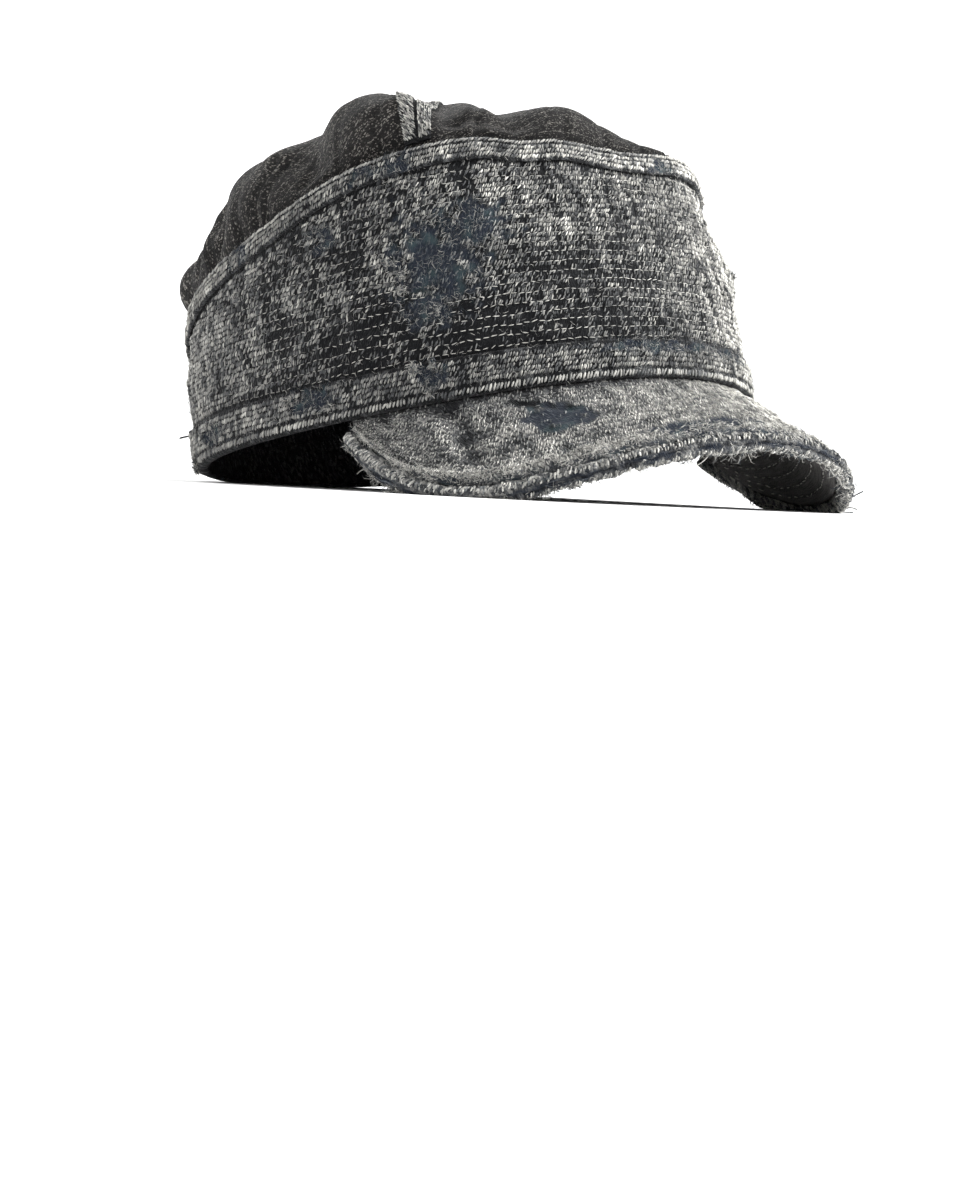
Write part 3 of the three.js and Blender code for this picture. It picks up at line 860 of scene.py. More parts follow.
def make_piece(name, points, faces, slot, material, uv=None, replaces=(), weld=False, **attributes):
    """Puts arrays into a mesh, with a material, its body and the nodes that it replaces. The slot is not
    used.
    """
    mesh = bpy.data.meshes.new(name)
    points = np.array(points)
    points[:, 2] = np.maximum(points[:, 2], 0)
    mesh.from_pydata(points.tolist(), [], faces.tolist())
    if uv is not None:
        mesh.uv_layers.new(name="cloth").data.foreach_set("uv", uv.astype(np.float32).ravel())
    for key, values in attributes.items():
        layer = mesh.attributes.new(key, "FLOAT", "POINT")
        layer.data.foreach_set("value", np.asarray(values, np.float32).ravel())
    if weld:
        merge_doubles(mesh)
    mesh.polygons.foreach_set("use_smooth", np.ones(len(mesh.polygons), bool))
    mesh.materials.append(material)
    mesh.update()
    piece = bpy.data.objects.new(name, mesh)
    bpy.context.scene.collection.objects.link(piece)
    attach(piece, BODY)
    if replaces:
        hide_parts(*replaces)
    return piece


class Value:
    """A shader socket that can stand in a sum: 1 - mask * 0.5 adds the Math nodes."""

    def __init__(self, shader, socket):
        self.shader, self.socket = shader, socket

    def math(self, operation, first, second=0.0):
        return self.shader.node("ShaderNodeMath", {"operation": operation}, {0: first, 1: second})

    def __add__(self, other):
        return self.math("ADD", self, other)

    def __sub__(self, other):
        return self.math("SUBTRACT", self, other)

    def __rsub__(self, other):
        return self.math("SUBTRACT", other, self)

    def __mul__(self, other):
        return self.math("MULTIPLY", self, other)

    __radd__ = __add__
    __rmul__ = __mul__

    def fract(self):
        return self.math("FRACT", self)

    def distance_from(self, other):
        return self.math("ABSOLUTE", self - other)


class Cloth:
    """A material for one cloth: a Principled shader and short ways to add nodes to it."""

    def __init__(self, name, roughness=0.95, sheen=0.06):
        self.material = bpy.data.materials.new(name)
        self.material.use_nodes = True
        self.tree = self.material.node_tree
        self.shader = self.tree.nodes["Principled BSDF"]
        constants = {
            "Roughness": roughness,
            "Sheen Weight": sheen,
            "Sheen Roughness": 0.5,
            "Specular IOR Level": 0.12,
        }
        for socket, value in constants.items():
            self.shader.inputs[socket].default_value = value

    def node(self, kind, settings=None, inputs=None, output=0):
        made = self.tree.nodes.new(kind)
        for name, value in (settings or {}).items():
            if name == "stops":
                while len(made.color_ramp.elements) < len(value):
                    made.color_ramp.elements.new(0.5)
                for element, (place, colour) in zip(made.color_ramp.elements, value):
                    element.position, element.color = place, (*colour, 1)
            else:
                setattr(made, name, value)
        for key, value in (inputs or {}).items():
            if isinstance(value, Value):
                self.tree.links.new(value.socket, made.inputs[key])
            else:
                made.inputs[key].default_value = value
        return Value(self, made.outputs[output])

    def uv(self):
        return self.node("ShaderNodeUVMap", {"uv_map": "cloth"})

    def place(self):
        return self.node("ShaderNodeTexCoord", output="Object")

    def attribute(self, name):
        return self.node("ShaderNodeAttribute", {"attribute_name": name}, output="Fac")

    def mapped(self, vector, cell, turn=0.0):
        """Turns a pattern, then gives it cells of these two sizes in the map's millimetres."""
        inputs = {"Vector": vector, "Scale": (*cell, 1), "Rotation": (0, 0, np.radians(turn))}
        return self.node("ShaderNodeMapping", {"vector_type": "TEXTURE"}, inputs)

    def noise(self, vector, scale, detail=2.0):
        return self.node("ShaderNodeTexNoise", None, {"Vector": vector, "Scale": scale, "Detail": detail})

    def cells(self, vector, output):
        settings = {"voronoi_dimensions": "2D", "feature": "F1"}
        inputs = {"Vector": vector, "Scale": 1.0, "Randomness": 1.0}
        return self.node("ShaderNodeTexVoronoi", settings, inputs, output)

    def channel(self, colour):
        return self.node("ShaderNodeSeparateColor", None, {"Color": colour}, "Red")

    def yarns(self, vector, cell, turn):
        """Slanted cells of yarn: a random tone for each, and how far a place is from its cell's middle."""
        places = self.mapped(vector, cell, turn)
        tone = self.channel(self.cells(places, "Color"))
        return tone, self.cells(places, "Distance")

    def ramp(self, factor, stops):
        return self.node("ShaderNodeValToRGB", {"stops": stops}, {"Fac": factor})

    def mix(self, factor, a, b):
        a, b = (c if isinstance(c, Value) else (*c, 1) for c in (a, b))
        return self.node("ShaderNodeMix", {"data_type": "RGBA"}, {0: factor, 6: a, 7: b}, 2)

    def step(self, value, start, end):
        settings = {"interpolation_type": "SMOOTHSTEP"}
        return self.node(
            "ShaderNodeMapRange", settings, {"Value": value, "From Min": start, "From Max": end}
        )

    def finish(self, colour, height=None, distance=0.0003, strength=1.0):
        self.tree.links.new(colour.socket, self.shader.inputs["Base Color"])
        if height is not None:
            bump = self.node(
                "ShaderNodeBump", None, {"Strength": strength, "Distance": distance, "Height": height}
            )
            self.tree.links.new(bump.socket, self.shader.inputs["Normal"])
        return self.material


def nubby_cloth(name, colours, cell=(0.55, 1.6), slant=-28, level=0.0, strength=1.0):
    """Salt-and-pepper cloth: slanted cells of mixed yarns, worn through to indigo where worn is 1."""
    cloth = Cloth(name)
    uv = cloth.uv()
    tone, rounded = cloth.yarns(uv, cell, slant)
    fine = cloth.noise(uv, 3.2, 3)
    shade = cloth.attribute("shade")
    lit = tone * 0.4 + (fine - 0.5) * 0.55 + shade * 0.75 + (level + 0.02)
    yarn = cloth.ramp(lit, [(0.22, colours.black), (0.55, colours.grey), (0.98, colours.cream)])
    teal_share = cloth.step(cloth.noise(uv, 0.16, 2), 0.5, 0.68)
    blue = cloth.mix(teal_share, colours.indigo, colours.teal)
    threads = cloth.step(cloth.noise(cloth.mapped(uv, (0.45, 1.8), -28), 1.0, 3), 0.5, 0.75)
    blue = cloth.mix(threads * 0.6, blue, colours.faded)
    worn = cloth.attribute("worn")
    gap = cloth.step(rounded, 0.35, 0.8)
    yarn = cloth.mix(gap * 0.8, yarn, colours.black)
    height = (1 - rounded) * (1 - worn * 0.6) + fine * 0.5 + threads * worn * 0.6
    return cloth.finish(cloth.mix(worn, yarn, blue), height, 0.0005, strength)


def yarn_material(name, colours, level=0.0):
    """Loose bits of yarn, whose tone runs from black through grey to cream."""
    yarn = Cloth(name)
    strands = yarn.noise(yarn.place(), 1400, 2)
    lit = yarn.attribute("tone") + (strands - 0.5) * 0.4 + level
    stops = [(0.0, colours.black), (0.35, colours.grey), (0.8, colours.cream), (1.0, colours.white)]
    colour = yarn.ramp(lit, stops)
    blue = yarn.mix(yarn.noise(yarn.place(), 160), colours.indigo, colours.teal)
    blue = yarn.mix(yarn.step(lit, 0.45, 0.9), blue, colours.faded)
    colour = yarn.mix(yarn.attribute("blue"), colour, blue)
    return yarn.finish(colour, strands, 0.0002, 0.8)


def crown_material(colours):
    """Charcoal denim: fine twill flecks, thin broken pale pinstripes and a worn bloom on its ridges."""
    denim = Cloth("crown_denim")
    uv = denim.uv()
    tone, rounded = denim.yarns(uv, (0.3, 0.5), 14)
    fine = denim.noise(uv, 2.5, 3)
    bloom = denim.noise(uv, 0.05, 2)
    across = denim.node("ShaderNodeSeparateXYZ", None, {"Vector": uv}, "X")
    line = (across * (1 / 4.4)).fract().distance_from(0.5)
    broken = denim.step(denim.noise(denim.mapped(uv, (0.5, 0.8)), 1.0, 3), 0.42, 0.6)
    stripe = (1 - denim.step(line, 0.03, 0.075)) * broken
    rib = denim.channel(denim.noise(denim.mapped(uv, (0.4, 2.4), 90), 1.0, 2))
    fleck = denim.step(tone, 0.78, 0.98)
    lit = tone * 0.2 + fleck * 0.38 + (fine - 0.5) * 0.6 + (bloom - 0.5) * 0.35 + (rib - 0.5) * 0.25
    lit = lit + stripe * 0.44 + 0.07 + denim.attribute("worn") * 0.12
    stops = [(0.12, colours.crown_dark), (0.42, colours.crown), (0.85, colours.crown_fleck)]
    colour = denim.ramp(lit, stops)
    return denim.finish(colour, (1 - rounded) + fine * 0.6 + rib * 0.5, 0.0003, 0.9)


def lining_material(colours):
    """Near-black cloth with a faint rib."""
    lining = Cloth("lining_cloth")
    uv = lining.uv()
    fine = lining.noise(uv, 2.8, 3)
    rib = lining.noise(lining.mapped(uv, (0.5, 9.0), 90), 1.0, 2)
    colour = lining.ramp(fine * 0.6 + rib * 0.4, [(0.35, colours.lining), (0.8, colours.lining_fleck)])
    return lining.finish(colour, fine + rib * 0.6, 0.0003, 0.8)


def edge_material(colours):
    """The rolled edge: long lines of indigo layers worn bare, under a pale nubby skin where worn is 0."""
    edge = Cloth("edge_cloth")
    uv = edge.uv()
    tone, rounded = edge.yarns(uv, (0.6, 1.5), -30)
    fine = edge.noise(uv, 3.0, 3)
    lit = tone * 0.5 + (fine - 0.5) * 0.6 + edge.attribute("shade") * 0.6
    yarn = edge.ramp(lit, [(0.2, colours.black), (0.5, colours.grey), (0.95, colours.cream)])
    layers = edge.noise(edge.mapped(uv, (14.0, 0.7)), 1.0, 3)
    stops = [(0.36, colours.black), (0.46, colours.indigo), (0.58, colours.indigo), (0.72, colours.faded)]
    blue = edge.ramp(layers + (fine - 0.5) * 0.3, stops)
    colour = edge.mix(edge.attribute("worn"), yarn, blue)
    return edge.finish(colour, (1 - rounded) * 0.5 + fine * 0.6 + layers * 1.5, 0.0008, 1.0)


def colour_property(name, description, default):
    """A linear colour that a user may change."""
    return bpy.props.FloatVectorProperty(
        name=name, description=description, default=default, subtype="COLOR", size=3, min=0, max=1
    )


def length_property(name, description, default):
    """A length in metres that a user may change."""
    return bpy.props.FloatProperty(
        name=name, description=description, default=default, min=0, precision=5, unit="LENGTH",
        subtype="DISTANCE",
    )


class CapColours(bpy.types.PropertyGroup):
    """The dyes of the cap's cloths and threads."""

    black: colour_property("Black yarn", "The darkest yarn of the band", (0.0055, 0.006, 0.007))
    grey: colour_property("Grey yarn", "The middle yarn of the band", (0.085, 0.088, 0.091))
    cream: colour_property("Cream yarn", "The palest common yarn of the band", (0.50, 0.49, 0.455))
    white: colour_property("White yarn", "The few whitest bits of yarn", (0.78, 0.765, 0.72))
    indigo: colour_property("Indigo", "The cloth that shows where the band is worn", (0.014, 0.018, 0.027))
    teal: colour_property("Teal", "Faded places in the indigo", (0.03, 0.046, 0.052))
    faded: colour_property("Faded indigo", "Threads that lie bare in the indigo", (0.13, 0.145, 0.16))
    crown: colour_property("Crown", "The crown's charcoal denim", (0.028, 0.0265, 0.0255))
    crown_dark: colour_property("Crown shade", "The darkest yarn of the crown", (0.006, 0.0058, 0.006))
    crown_fleck: colour_property(
        "Crown fleck", "The pale flecks and stripes of the crown", (0.27, 0.255, 0.23)
    )
    lining: colour_property("Lining", "The cloth under the peak", (0.034, 0.033, 0.033))
    lining_fleck: colour_property("Lining fleck", "The lining's paler yarns", (0.22, 0.21, 0.2))
    floor: colour_property("Floor", "The studio floor", (0.93, 0.93, 0.93))


class CapSizes(bpy.types.PropertyGroup):
    """The sizes of the cap's stitches, yarns and loose fibres."""

    nub_length: length_property("Nub length", "Half the length of a slanted bit of yarn", 0.00098)
    nub_width: length_property("Nub width", "Half the width of a slanted bit of yarn", 0.00027)
    nub_gap: length_property("Nub spacing", "From one bit of yarn to the next along a row", 0.00066)
    stitch_length: length_property("Stitch length", "The length of a running stitch", 0.002)
    stitch_gap: length_property("Stitch gap", "The space between two running stitches", 0.0005)
    stitch_width: length_property("Stitch width", "The thickness of the stitching thread", 0.00031)
    fuzz_length: length_property("Fuzz length", "The usual length of a loose fibre", 0.0017)
    fringe_length: length_property("Fringe length", "The usual length of a frayed thread", 0.003)


class CapStudio(bpy.types.PropertyGroup):
    """The camera's place and the lights."""

    azimuth: bpy.props.FloatProperty(
        name="Azimuth", description="How far round to the cap's right side the camera stands",
        default=np.radians(42.9), subtype="ANGLE",
    )
    camera_height: length_property("Camera height", "The camera's height over the floor", 0.009)
    camera_distance: length_property("Camera distance", "From the camera to the middle of the rim", 1.3)
    roll: bpy.props.FloatProperty(
        name="Roll", description="How far the camera turns about its own line of sight",
        default=np.radians(2.8), subtype="ANGLE",
    )
    key_power: bpy.props.FloatProperty(
        name="Key light", description="The power of the large soft light", default=60.0, min=0,
        subtype="POWER", unit="POWER",
    )


def new_light(name, location, target, size, power):
    """A square soft light that faces its target."""
    light = bpy.data.lights.new(name, "AREA")
    light.size, light.energy = size, power
    lamp = bpy.data.objects.new(name, light)
    lamp.location = location
    lamp.rotation_euler = (Vector(target) - Vector(location)).to_track_quat("-Z", "Y").to_euler()
    bpy.context.scene.collection.objects.link(lamp)


class CAP_OT_studio(bpy.types.Operator):
    """Make the floor, the lights and the camera"""

    bl_idname = "cap.studio"
    bl_label = "Studio"

    def execute(self, context):
        studio = context.scene.cap_studio
        scene = context.scene
        self.make_camera(scene, studio)
        self.make_floor(context)
        scene.world = bpy.data.worlds.new("studio_air")
        scene.world.use_nodes = True
        air = scene.world.node_tree.nodes["Background"]
        air.inputs["Color"].default_value = (1, 1, 1, 1)
        air.inputs["Strength"].default_value = AIR_STRENGTH
        scene.view_settings.view_transform = "Standard"
        for lamp in LAMPS:
            new_light(lamp.name, lamp.place, lamp.target, lamp.size, studio.key_power * lamp.share)
        return {"FINISHED"}

    def make_camera(self, scene, studio):
        """Stands the camera at the photo's azimuth, just over the floor, with the rim at its pixel."""
        rim = Vector(placed(np.zeros(3)).tolist())
        away = Vector((-np.sin(studio.azimuth), -np.cos(studio.azimuth), 0)) * studio.camera_distance
        position = Vector((rim.x + away.x, rim.y + away.y, studio.camera_height))
        sight = (rim - position).normalized()
        right = sight.cross(Vector((0, 0, 1))).normalized()
        up = right.cross(sight)
        right, up = (
            right * np.cos(studio.roll) + up * np.sin(studio.roll),
            up * np.cos(studio.roll) - right * np.sin(studio.roll),
        )
        left_by = (PHOTO_SIZE[0] / 2 - PHOTO_RIM_PIXEL[0]) / PHOTO_FOCAL_PIXELS
        up_by = (PHOTO_SIZE[1] / 2 - PHOTO_RIM_PIXEL[1]) / PHOTO_FOCAL_PIXELS
        ahead = (sight + right * left_by - up * up_by).normalized()
        side = ahead.cross(up).normalized()
        data = bpy.data.cameras.new("photo_camera")
        data.sensor_width = SENSOR
        data.lens = PHOTO_FOCAL_PIXELS * SENSOR / max(PHOTO_SIZE)
        data.clip_start, data.clip_end = CLIP_START, CLIP_END
        camera = bpy.data.objects.new("photo_camera", data)
        turn = Matrix((side, side.cross(ahead), -ahead)).transposed()
        camera.matrix_world = Matrix.Translation(position) @ turn.to_4x4()
        scene.collection.objects.link(camera)
        scene.camera = camera

    def make_floor(self, context):
        """A round floor whose rim sweeps up into a wall: a profile of radius and height turned round Z."""
        sweep = np.linspace(0, np.pi / 2, FLOOR_BEND_ROWS)
        widest = FLOOR_RADIUS + FLOOR_BEND
        radius = np.concatenate([[0.0, 0.5, 1.5], FLOOR_RADIUS + FLOOR_BEND * np.sin(sweep), [widest]])
        height = np.concatenate(
            [[0.0, 0.0, 0.0], FLOOR_BEND * (1 - np.cos(sweep)), [FLOOR_BEND + FLOOR_WALL]]
        )
        turns = np.linspace(0, 2 * np.pi, FLOOR_COLUMNS + 1)[:-1]
        points = vec(
            radius * np.cos(turns[:, None]), radius * np.sin(turns[:, None]), height + 0 * turns[:, None]
        )
        i, j = np.arange(FLOOR_COLUMNS)[:, None], np.arange(len(radius) - 1)[None, :]
        wide = len(radius)
        corners = [(i, j), (i, j + 1), (i + 1, j + 1), (i + 1, j)]
        faces = np.stack([(a % FLOOR_COLUMNS) * wide + b for a, b in corners], -1).reshape(-1, 4)
        mesh = bpy.data.meshes.new("studio_floor")
        mesh.from_pydata(points.reshape(-1, 3).tolist(), [], faces.tolist())
        merge_doubles(mesh)
        mesh.polygons.foreach_set("use_smooth", np.ones(len(mesh.polygons), bool))
        paper = Cloth("studio_paper", 0.9, 0.0)
        grain = paper.noise(paper.place(), 40, 2)
        tint = context.scene.cap_colours.floor
        mesh.materials.append(paper.finish(paper.mix(grain * 0.06, tint, [c * 0.9 for c in tint])))
        floor = bpy.data.objects.new("studio_floor", mesh)
        context.scene.collection.objects.link(floor)


def arc_lengths(points):
    """How far round each turn lies along the rim, in millimetres, for rows of points that close."""
    steps = np.linalg.norm(np.roll(points, -1, axis=0) - points, axis=-1)
    return np.concatenate([[0], np.cumsum(steps)])


def band_shade(turn, height):
    """How light the band's cloth is, about -1 to 1: dark zones in front, painted shade down the near side
    and a paler far front of painted light.
    """
    dark = 0.38 * hill(turn_between(-44, turn), 32) * hill(height - 20, 12)
    dark = dark + 0.2 * hill(turn_between(-20, turn), 16) * hill(height - 34, 14)
    # Painted shade: the near side, turned from the key light, darker all the way up.
    dark = dark + 0.16 * hill(turn_between(-72, turn), 26)
    clouds = 0.1 * lumps(turn, height, 22, 72) + 0.07 * lumps(turn, height, 9, 71, stretch=4)
    # Painted light: the far front, which faces the key light, is paler; the back of the near side is a
    # little paler too.
    pale = 0.34 * fade(turn, 0, 40) * fade(turn, 120, 60) + 0.12 * fade(turn, -95, -130)
    return clouds + pale - dark


def calm_at(turn):
    """Where the cloth is finer and more even, 0 to 1: the near side behind the strip and the back."""
    return fade(turn, -74, -108) + fade(turn, 150, 175)


def band_weave(turn, height):
    """The tone of the band's cloth: its groups of yarn, evened out where it is calm, and its shade, with
    painted light and shade.
    """
    groups = (nub_tone(turn, height) - 0.45) * (1 - 0.5 * np.clip(calm_at(turn), 0, 1))
    return groups + band_shade(turn, height)


class CAP_OT_band(bpy.types.Operator):
    """Make the band's wall of worn, stitched cloth"""

    bl_idname = "cap.band"
    bl_label = "Band"

    def execute(self, context):
        colours = context.scene.cap_colours
        turns = turns_round(BAND_COLUMNS)
        edge = HEM_THICKNESS + SEAM_GAP
        height = edge + np.linspace(0, 1, BAND_ROWS) * (wall_height(turns) - 2 * edge)
        puff = 0.16 * (nub_tone(turns, height) - 0.45)
        face = band_face(turns, height, puff)
        inner_height = edge + np.linspace(1, 0, BAND_INNER_ROWS) * (wall_height(turns) - 2 * edge)
        inner_rise = inner_height / wall_height(turns)
        inner = placed(band_point(turns, inner_rise, BAND_WALL))
        points = np.concatenate([face, inner], axis=1)
        around = arc_lengths(rim_point(turns[:, 0]))
        up = np.concatenate([height, inner_rise * wall_height(turns), height[:, :1]], axis=1)
        up = np.concatenate([up, up[:1]])
        uv = np.stack(np.broadcast_arrays(around[:, None], up), -1)
        inside = np.zeros((BAND_COLUMNS, BAND_INNER_ROWS))
        worn = np.concatenate([worn_at(turns, height, BAND_PATCHES), inside], axis=1)
        # The shade attribute holds band_weave's tone, with its painted shade on the near side and painted
        # light on the far front.
        shade = np.concatenate([band_weave(turns, height), inside + 0.05], axis=1)
        points, faces, corners = shell(points, True, uv)
        material = nubby_cloth("band_cloth", colours)
        make_piece(
            "band_wall", points, faces, "band_cloth", material, corners, ["band"], worn=worn, shade=shade
        )
        return {"FINISHED"}


def yarn_places(rng, row_gap, gap, lengths):
    """Jittered places in rows round the cap, as turns in degrees and lengths up the wall in millimetres."""
    rows = np.arange(lengths[0], lengths[1], row_gap)
    turns = np.arange(-180, 180, gap / MM_PER_DEGREE)
    turn, row = np.meshgrid(turns, rows)
    turn = turn + rng.uniform(-0.3, 0.3, turn.shape) * gap / MM_PER_DEGREE
    row = row + rng.uniform(-0.16, 0.16, row.shape) * row_gap
    return turn.ravel(), row.ravel()


class CAP_OT_band_nubs(bpy.types.Operator):
    """Make the slanted bits of yarn that stand out of the band"""

    bl_idname = "cap.band_nubs"
    bl_label = "Band nubs"

    def execute(self, context):
        sizes, colours = context.scene.cap_sizes, context.scene.cap_colours
        rng = np.random.default_rng(101)
        lengths = (FIRST_STITCH_ROW + NUB_ROW_HEIGHT * 0.5, BAND_HEIGHT * 1.02)
        turn, height = yarn_places(rng, NUB_ROW_HEIGHT, sizes.nub_gap / MM, lengths)
        keep = height < wall_height(turn) - TOP_HEM_HEIGHT - 0.6
        turn, height = turn[keep], height[keep]
        beside = rng.normal(0, 0.5, (2, len(turn)))
        # The nubs' tone carries band_weave's painted shade on the near side and painted light on the far
        # front.
        tone = 0.5 + band_weave(turn + beside[0], height + beside[1]) + rng.normal(0, 0.15, len(turn))
        worn = worn_at(turn, height, BAND_PATCHES)
        keep = (tone > 0.34) & (rng.uniform(0, 1, len(turn)) > 0.1)
        keep = keep & (worn * 0.75 < rng.uniform(0, 1, len(turn)))
        turn, height, tone, worn = turn[keep], height[keep], tone[keep], worn[keep]
        half = np.array([sizes.nub_length, sizes.nub_width, sizes.nub_width * 1.1]) / MM
        material = yarn_material("band_yarn", colours)
        pale = tone > np.median(tone)
        for name, part in (("band_nubs_pale", pale), ("band_nubs_grey", ~pale)):
            place = frames(band_face, turn[part], height[part], 0.16)
            bits = lay_yarn(rng, place, half, 62, tone[part] * 0.95 - 0.06, worn[part] * 0.8)
            make_yarn(name, "band_cloth", material, [bits])
        return {"FINISHED"}


class CAP_OT_band_stitches(bpy.types.Operator):
    """Make the rows of running stitches round the band"""

    bl_idname = "cap.band_stitches"
    bl_label = "Band stitches"

    def execute(self, context):
        sizes, colours = context.scene.cap_sizes, context.scene.cap_colours
        rng = np.random.default_rng(202)
        pitch = (sizes.stitch_length + sizes.stitch_gap) / MM / MM_PER_DEGREE
        half = np.array([sizes.stitch_length / 2, sizes.stitch_width / 2, sizes.stitch_width / 2]) / MM
        parts = []
        for level in np.arange(FIRST_STITCH_ROW, BAND_HEIGHT, STITCH_ROW_GAP):
            turn = np.arange(-180, 180, pitch) + rng.uniform(0, pitch)
            shown = worn_at(turn, level + 0 * turn, BAND_PATCHES) < 0.45
            low = hill(turn_between(-44, turn), 45) * fade(level, 60, 25)
            calm = np.clip(calm_at(turn), 0, 1)
            strong = 0.35 + 0.5 * lumps(turn, level + 0 * turn, 30, 76) + low - 0.6 * calm
            kept = rng.uniform(0, 1, len(turn)) < np.clip(0.55 + strong, 0.1, 1)
            keep = (level < wall_height(turn) - TOP_HEM_HEIGHT - 1.5) & shown & kept
            turn, strong = turn[keep], strong[keep]
            if len(turn):
                wander = level + 0.25 * lumps(turn, level + 0 * turn, 12, 77)
                place = frames(band_face, turn, wander, 0.22 + 0.12 * np.clip(strong, 0, 1))
                tone = np.clip(0.47 + 0.25 * strong + rng.normal(0, 0.08, len(turn)), 0.34, 0.85)
                parts.append(lay_yarn(rng, place, half, 4, tone, 0.0, GRAIN, 0.02, -0.08 * MM))
        make_yarn("band_stitches", "band_cloth", yarn_material("stitch_thread", colours), parts)
        return {"FINISHED"}


def hem_weave(turn, length, at_top):
    """The tone of a hem's cloth: groups of yarn, clouds, a paler far front of painted light and painted
    shade on the near side.
    """
    groups = (nub_tone(turn, length + 40, 92 if at_top else 93) - 0.45) * 0.8
    # Painted light on the far front, which faces the key light, and painted shade on the near side.
    pale = 0.24 * fade(turn, 0, 50) * fade(turn, 130, 70) - 0.14 * hill(turn_between(-60, turn), 34)
    return groups + pale + 0.1 * lumps(turn, length, 16, 73) + (0.12 if at_top else 0.0)


class CAP_OT_hems(bpy.types.Operator):
    """Make the folded strips over the band's two edges"""

    bl_idname = "cap.hems"
    bl_label = "Hems"

    def execute(self, context):
        colours = context.scene.cap_colours
        material = nubby_cloth("hem_cloth", colours, level=0.02)
        for name, height, at_top, patches in (
            ("top_hem", TOP_HEM_HEIGHT, True, TOP_HEM_PATCHES),
            ("bottom_hem", BOTTOM_HEM_HEIGHT, False, BOTTOM_HEM_PATCHES),
        ):
            self.make_hem(name, height, at_top, patches, material)
        return {"FINISHED"}

    def make_hem(self, name, height, at_top, patches, material):
        """A flap on the band's face, rounded where it turns over the band's edge."""
        turns = turns_round(HEM_COLUMNS)
        proud = SEAM_GAP + HEM_THICKNESS
        round_over = np.linspace(-np.pi / 2, np.pi / 2, HEM_FOLD_ROWS + 1)[:-1]
        middle = (BAND_WALL - proud) / 2
        over = (BAND_WALL + proud) / 2
        fold_length = 0.9 - 1.1 * np.cos(round_over)
        fold_inset = middle - over * np.sin(round_over)
        face_length = np.linspace(1.0, height - 0.5, HEM_ROWS)
        length = np.concatenate(
            [[HEM_THICKNESS], fold_length, face_length, [height - 0.12, height, height - 0.15]]
        )
        inset = np.concatenate(
            [[BAND_WALL], fold_inset, np.full(HEM_ROWS, -proud), [-proud + 0.25, -0.75, -SEAM_GAP]]
        )
        relief = np.concatenate([np.zeros(6), [0.3, 0.6, 0.9], np.ones(HEM_ROWS), [0.7, 0.3, 0.0]])
        length = np.append(length, HEM_THICKNESS)
        inset = np.append(inset, -SEAM_GAP)
        relief = np.append(relief, 0.0)
        depth = inset - relief * hem_relief(turns, length + 0 * turns, at_top)
        points = placed(hem_point(turns, length + 0 * turns, depth, at_top))
        worn = worn_at(turns, length + 0 * turns, patches) * relief
        # The shade attribute holds hem_weave's tone, with its painted light on the far front and painted
        # shade on the near side.
        shade = hem_weave(turns, length + 0 * turns, at_top)
        along = np.cumsum(np.abs(np.diff(length, prepend=0)) + np.abs(np.diff(inset, prepend=0)))
        if at_top:
            points, worn, shade = points[:, ::-1], worn[:, ::-1], shade[:, ::-1]
            along = along[::-1]
        around = arc_lengths(rim_point(turns[:, 0]))
        uv = np.stack(np.broadcast_arrays(around[:, None], np.append(along, along[-1] + 1)), -1)
        points, faces, corners = shell(points, True, uv)
        node = "band_" + name
        make_piece(
            name + "_fold", points, faces, "hem_cloth", material, corners, [node],
            worn=worn, shade=shade + 0 * worn,
        )


class CAP_OT_hem_nubs(bpy.types.Operator):
    """Make the bits of yarn on both hems and the slanted stitches along their edges"""

    bl_idname = "cap.hem_nubs"
    bl_label = "Hem nubs"

    def execute(self, context):
        sizes, colours = context.scene.cap_sizes, context.scene.cap_colours
        rng = np.random.default_rng(303)
        material = yarn_material("hem_yarn", colours)
        half = np.array([sizes.nub_length * 0.95, sizes.nub_width * 1.05, sizes.nub_width * 1.2]) / MM
        for name, at_top, lengths, patches, edge_level, edge_half, edge_slant in (
            (
                "top_hem_yarn", True, (2.6, TOP_HEM_HEIGHT - 0.3), TOP_HEM_PATCHES,
                0.8, (1.0, 0.33, 0.36), -38,
            ),
            (
                "bottom_hem_yarn", False, (4.4, BOTTOM_HEM_HEIGHT - 0.5), BOTTOM_HEM_PATCHES,
                1.6, (1.25, 0.42, 0.45), 66,
            ),
        ):
            face = hem_face(at_top)
            turn, length = yarn_places(rng, NUB_ROW_HEIGHT, sizes.nub_gap / MM, lengths)
            # The nubs' tone carries hem_weave's painted light on the far front and painted shade on the near
            # side.
            tone = 0.55 + hem_weave(turn, length, at_top) + rng.normal(0, 0.12, len(turn))
            worn = worn_at(turn, length, patches)
            keep = (length < lengths[1]) & (tone > 0.3) & (worn * 0.8 < rng.uniform(0, 1, len(turn)))
            turn, length, tone, worn = turn[keep], length[keep], tone[keep], worn[keep]
            slant = -62 if at_top else 62
            parts = [
                lay_yarn(rng, frames(face, turn, length, 0.14), half, slant, tone * 0.95 - 0.04, worn * 0.8)
            ]
            turn = np.arange(-180, 180, HEM_STITCH_GAP_MM / MM_PER_DEGREE)
            turn = turn + rng.uniform(-0.12, 0.12, len(turn))
            frayed = worn_at(turn, edge_level + 0 * turn, patches)
            turn = turn[frayed < 0.5]
            level = edge_level + rng.normal(0, 0.06, len(turn))
            tone = 0.55 + 0.14 * lumps(turn, level, 30, 75) + rng.uniform(-0.16, 0.16, len(turn))
            # Painted light: the edge stitches are paler on the far front, which faces the key light.
            tone = tone + 0.12 * fade(turn, -10, 50) * fade(turn, 130, 70)
            parts.append(
                lay_yarn(rng, frames(face, turn, level, 0.14), edge_half, edge_slant, tone, 0.0, GRAIN)
            )
            make_yarn(name, "hem_cloth", material, parts)
        return {"FINISHED"}


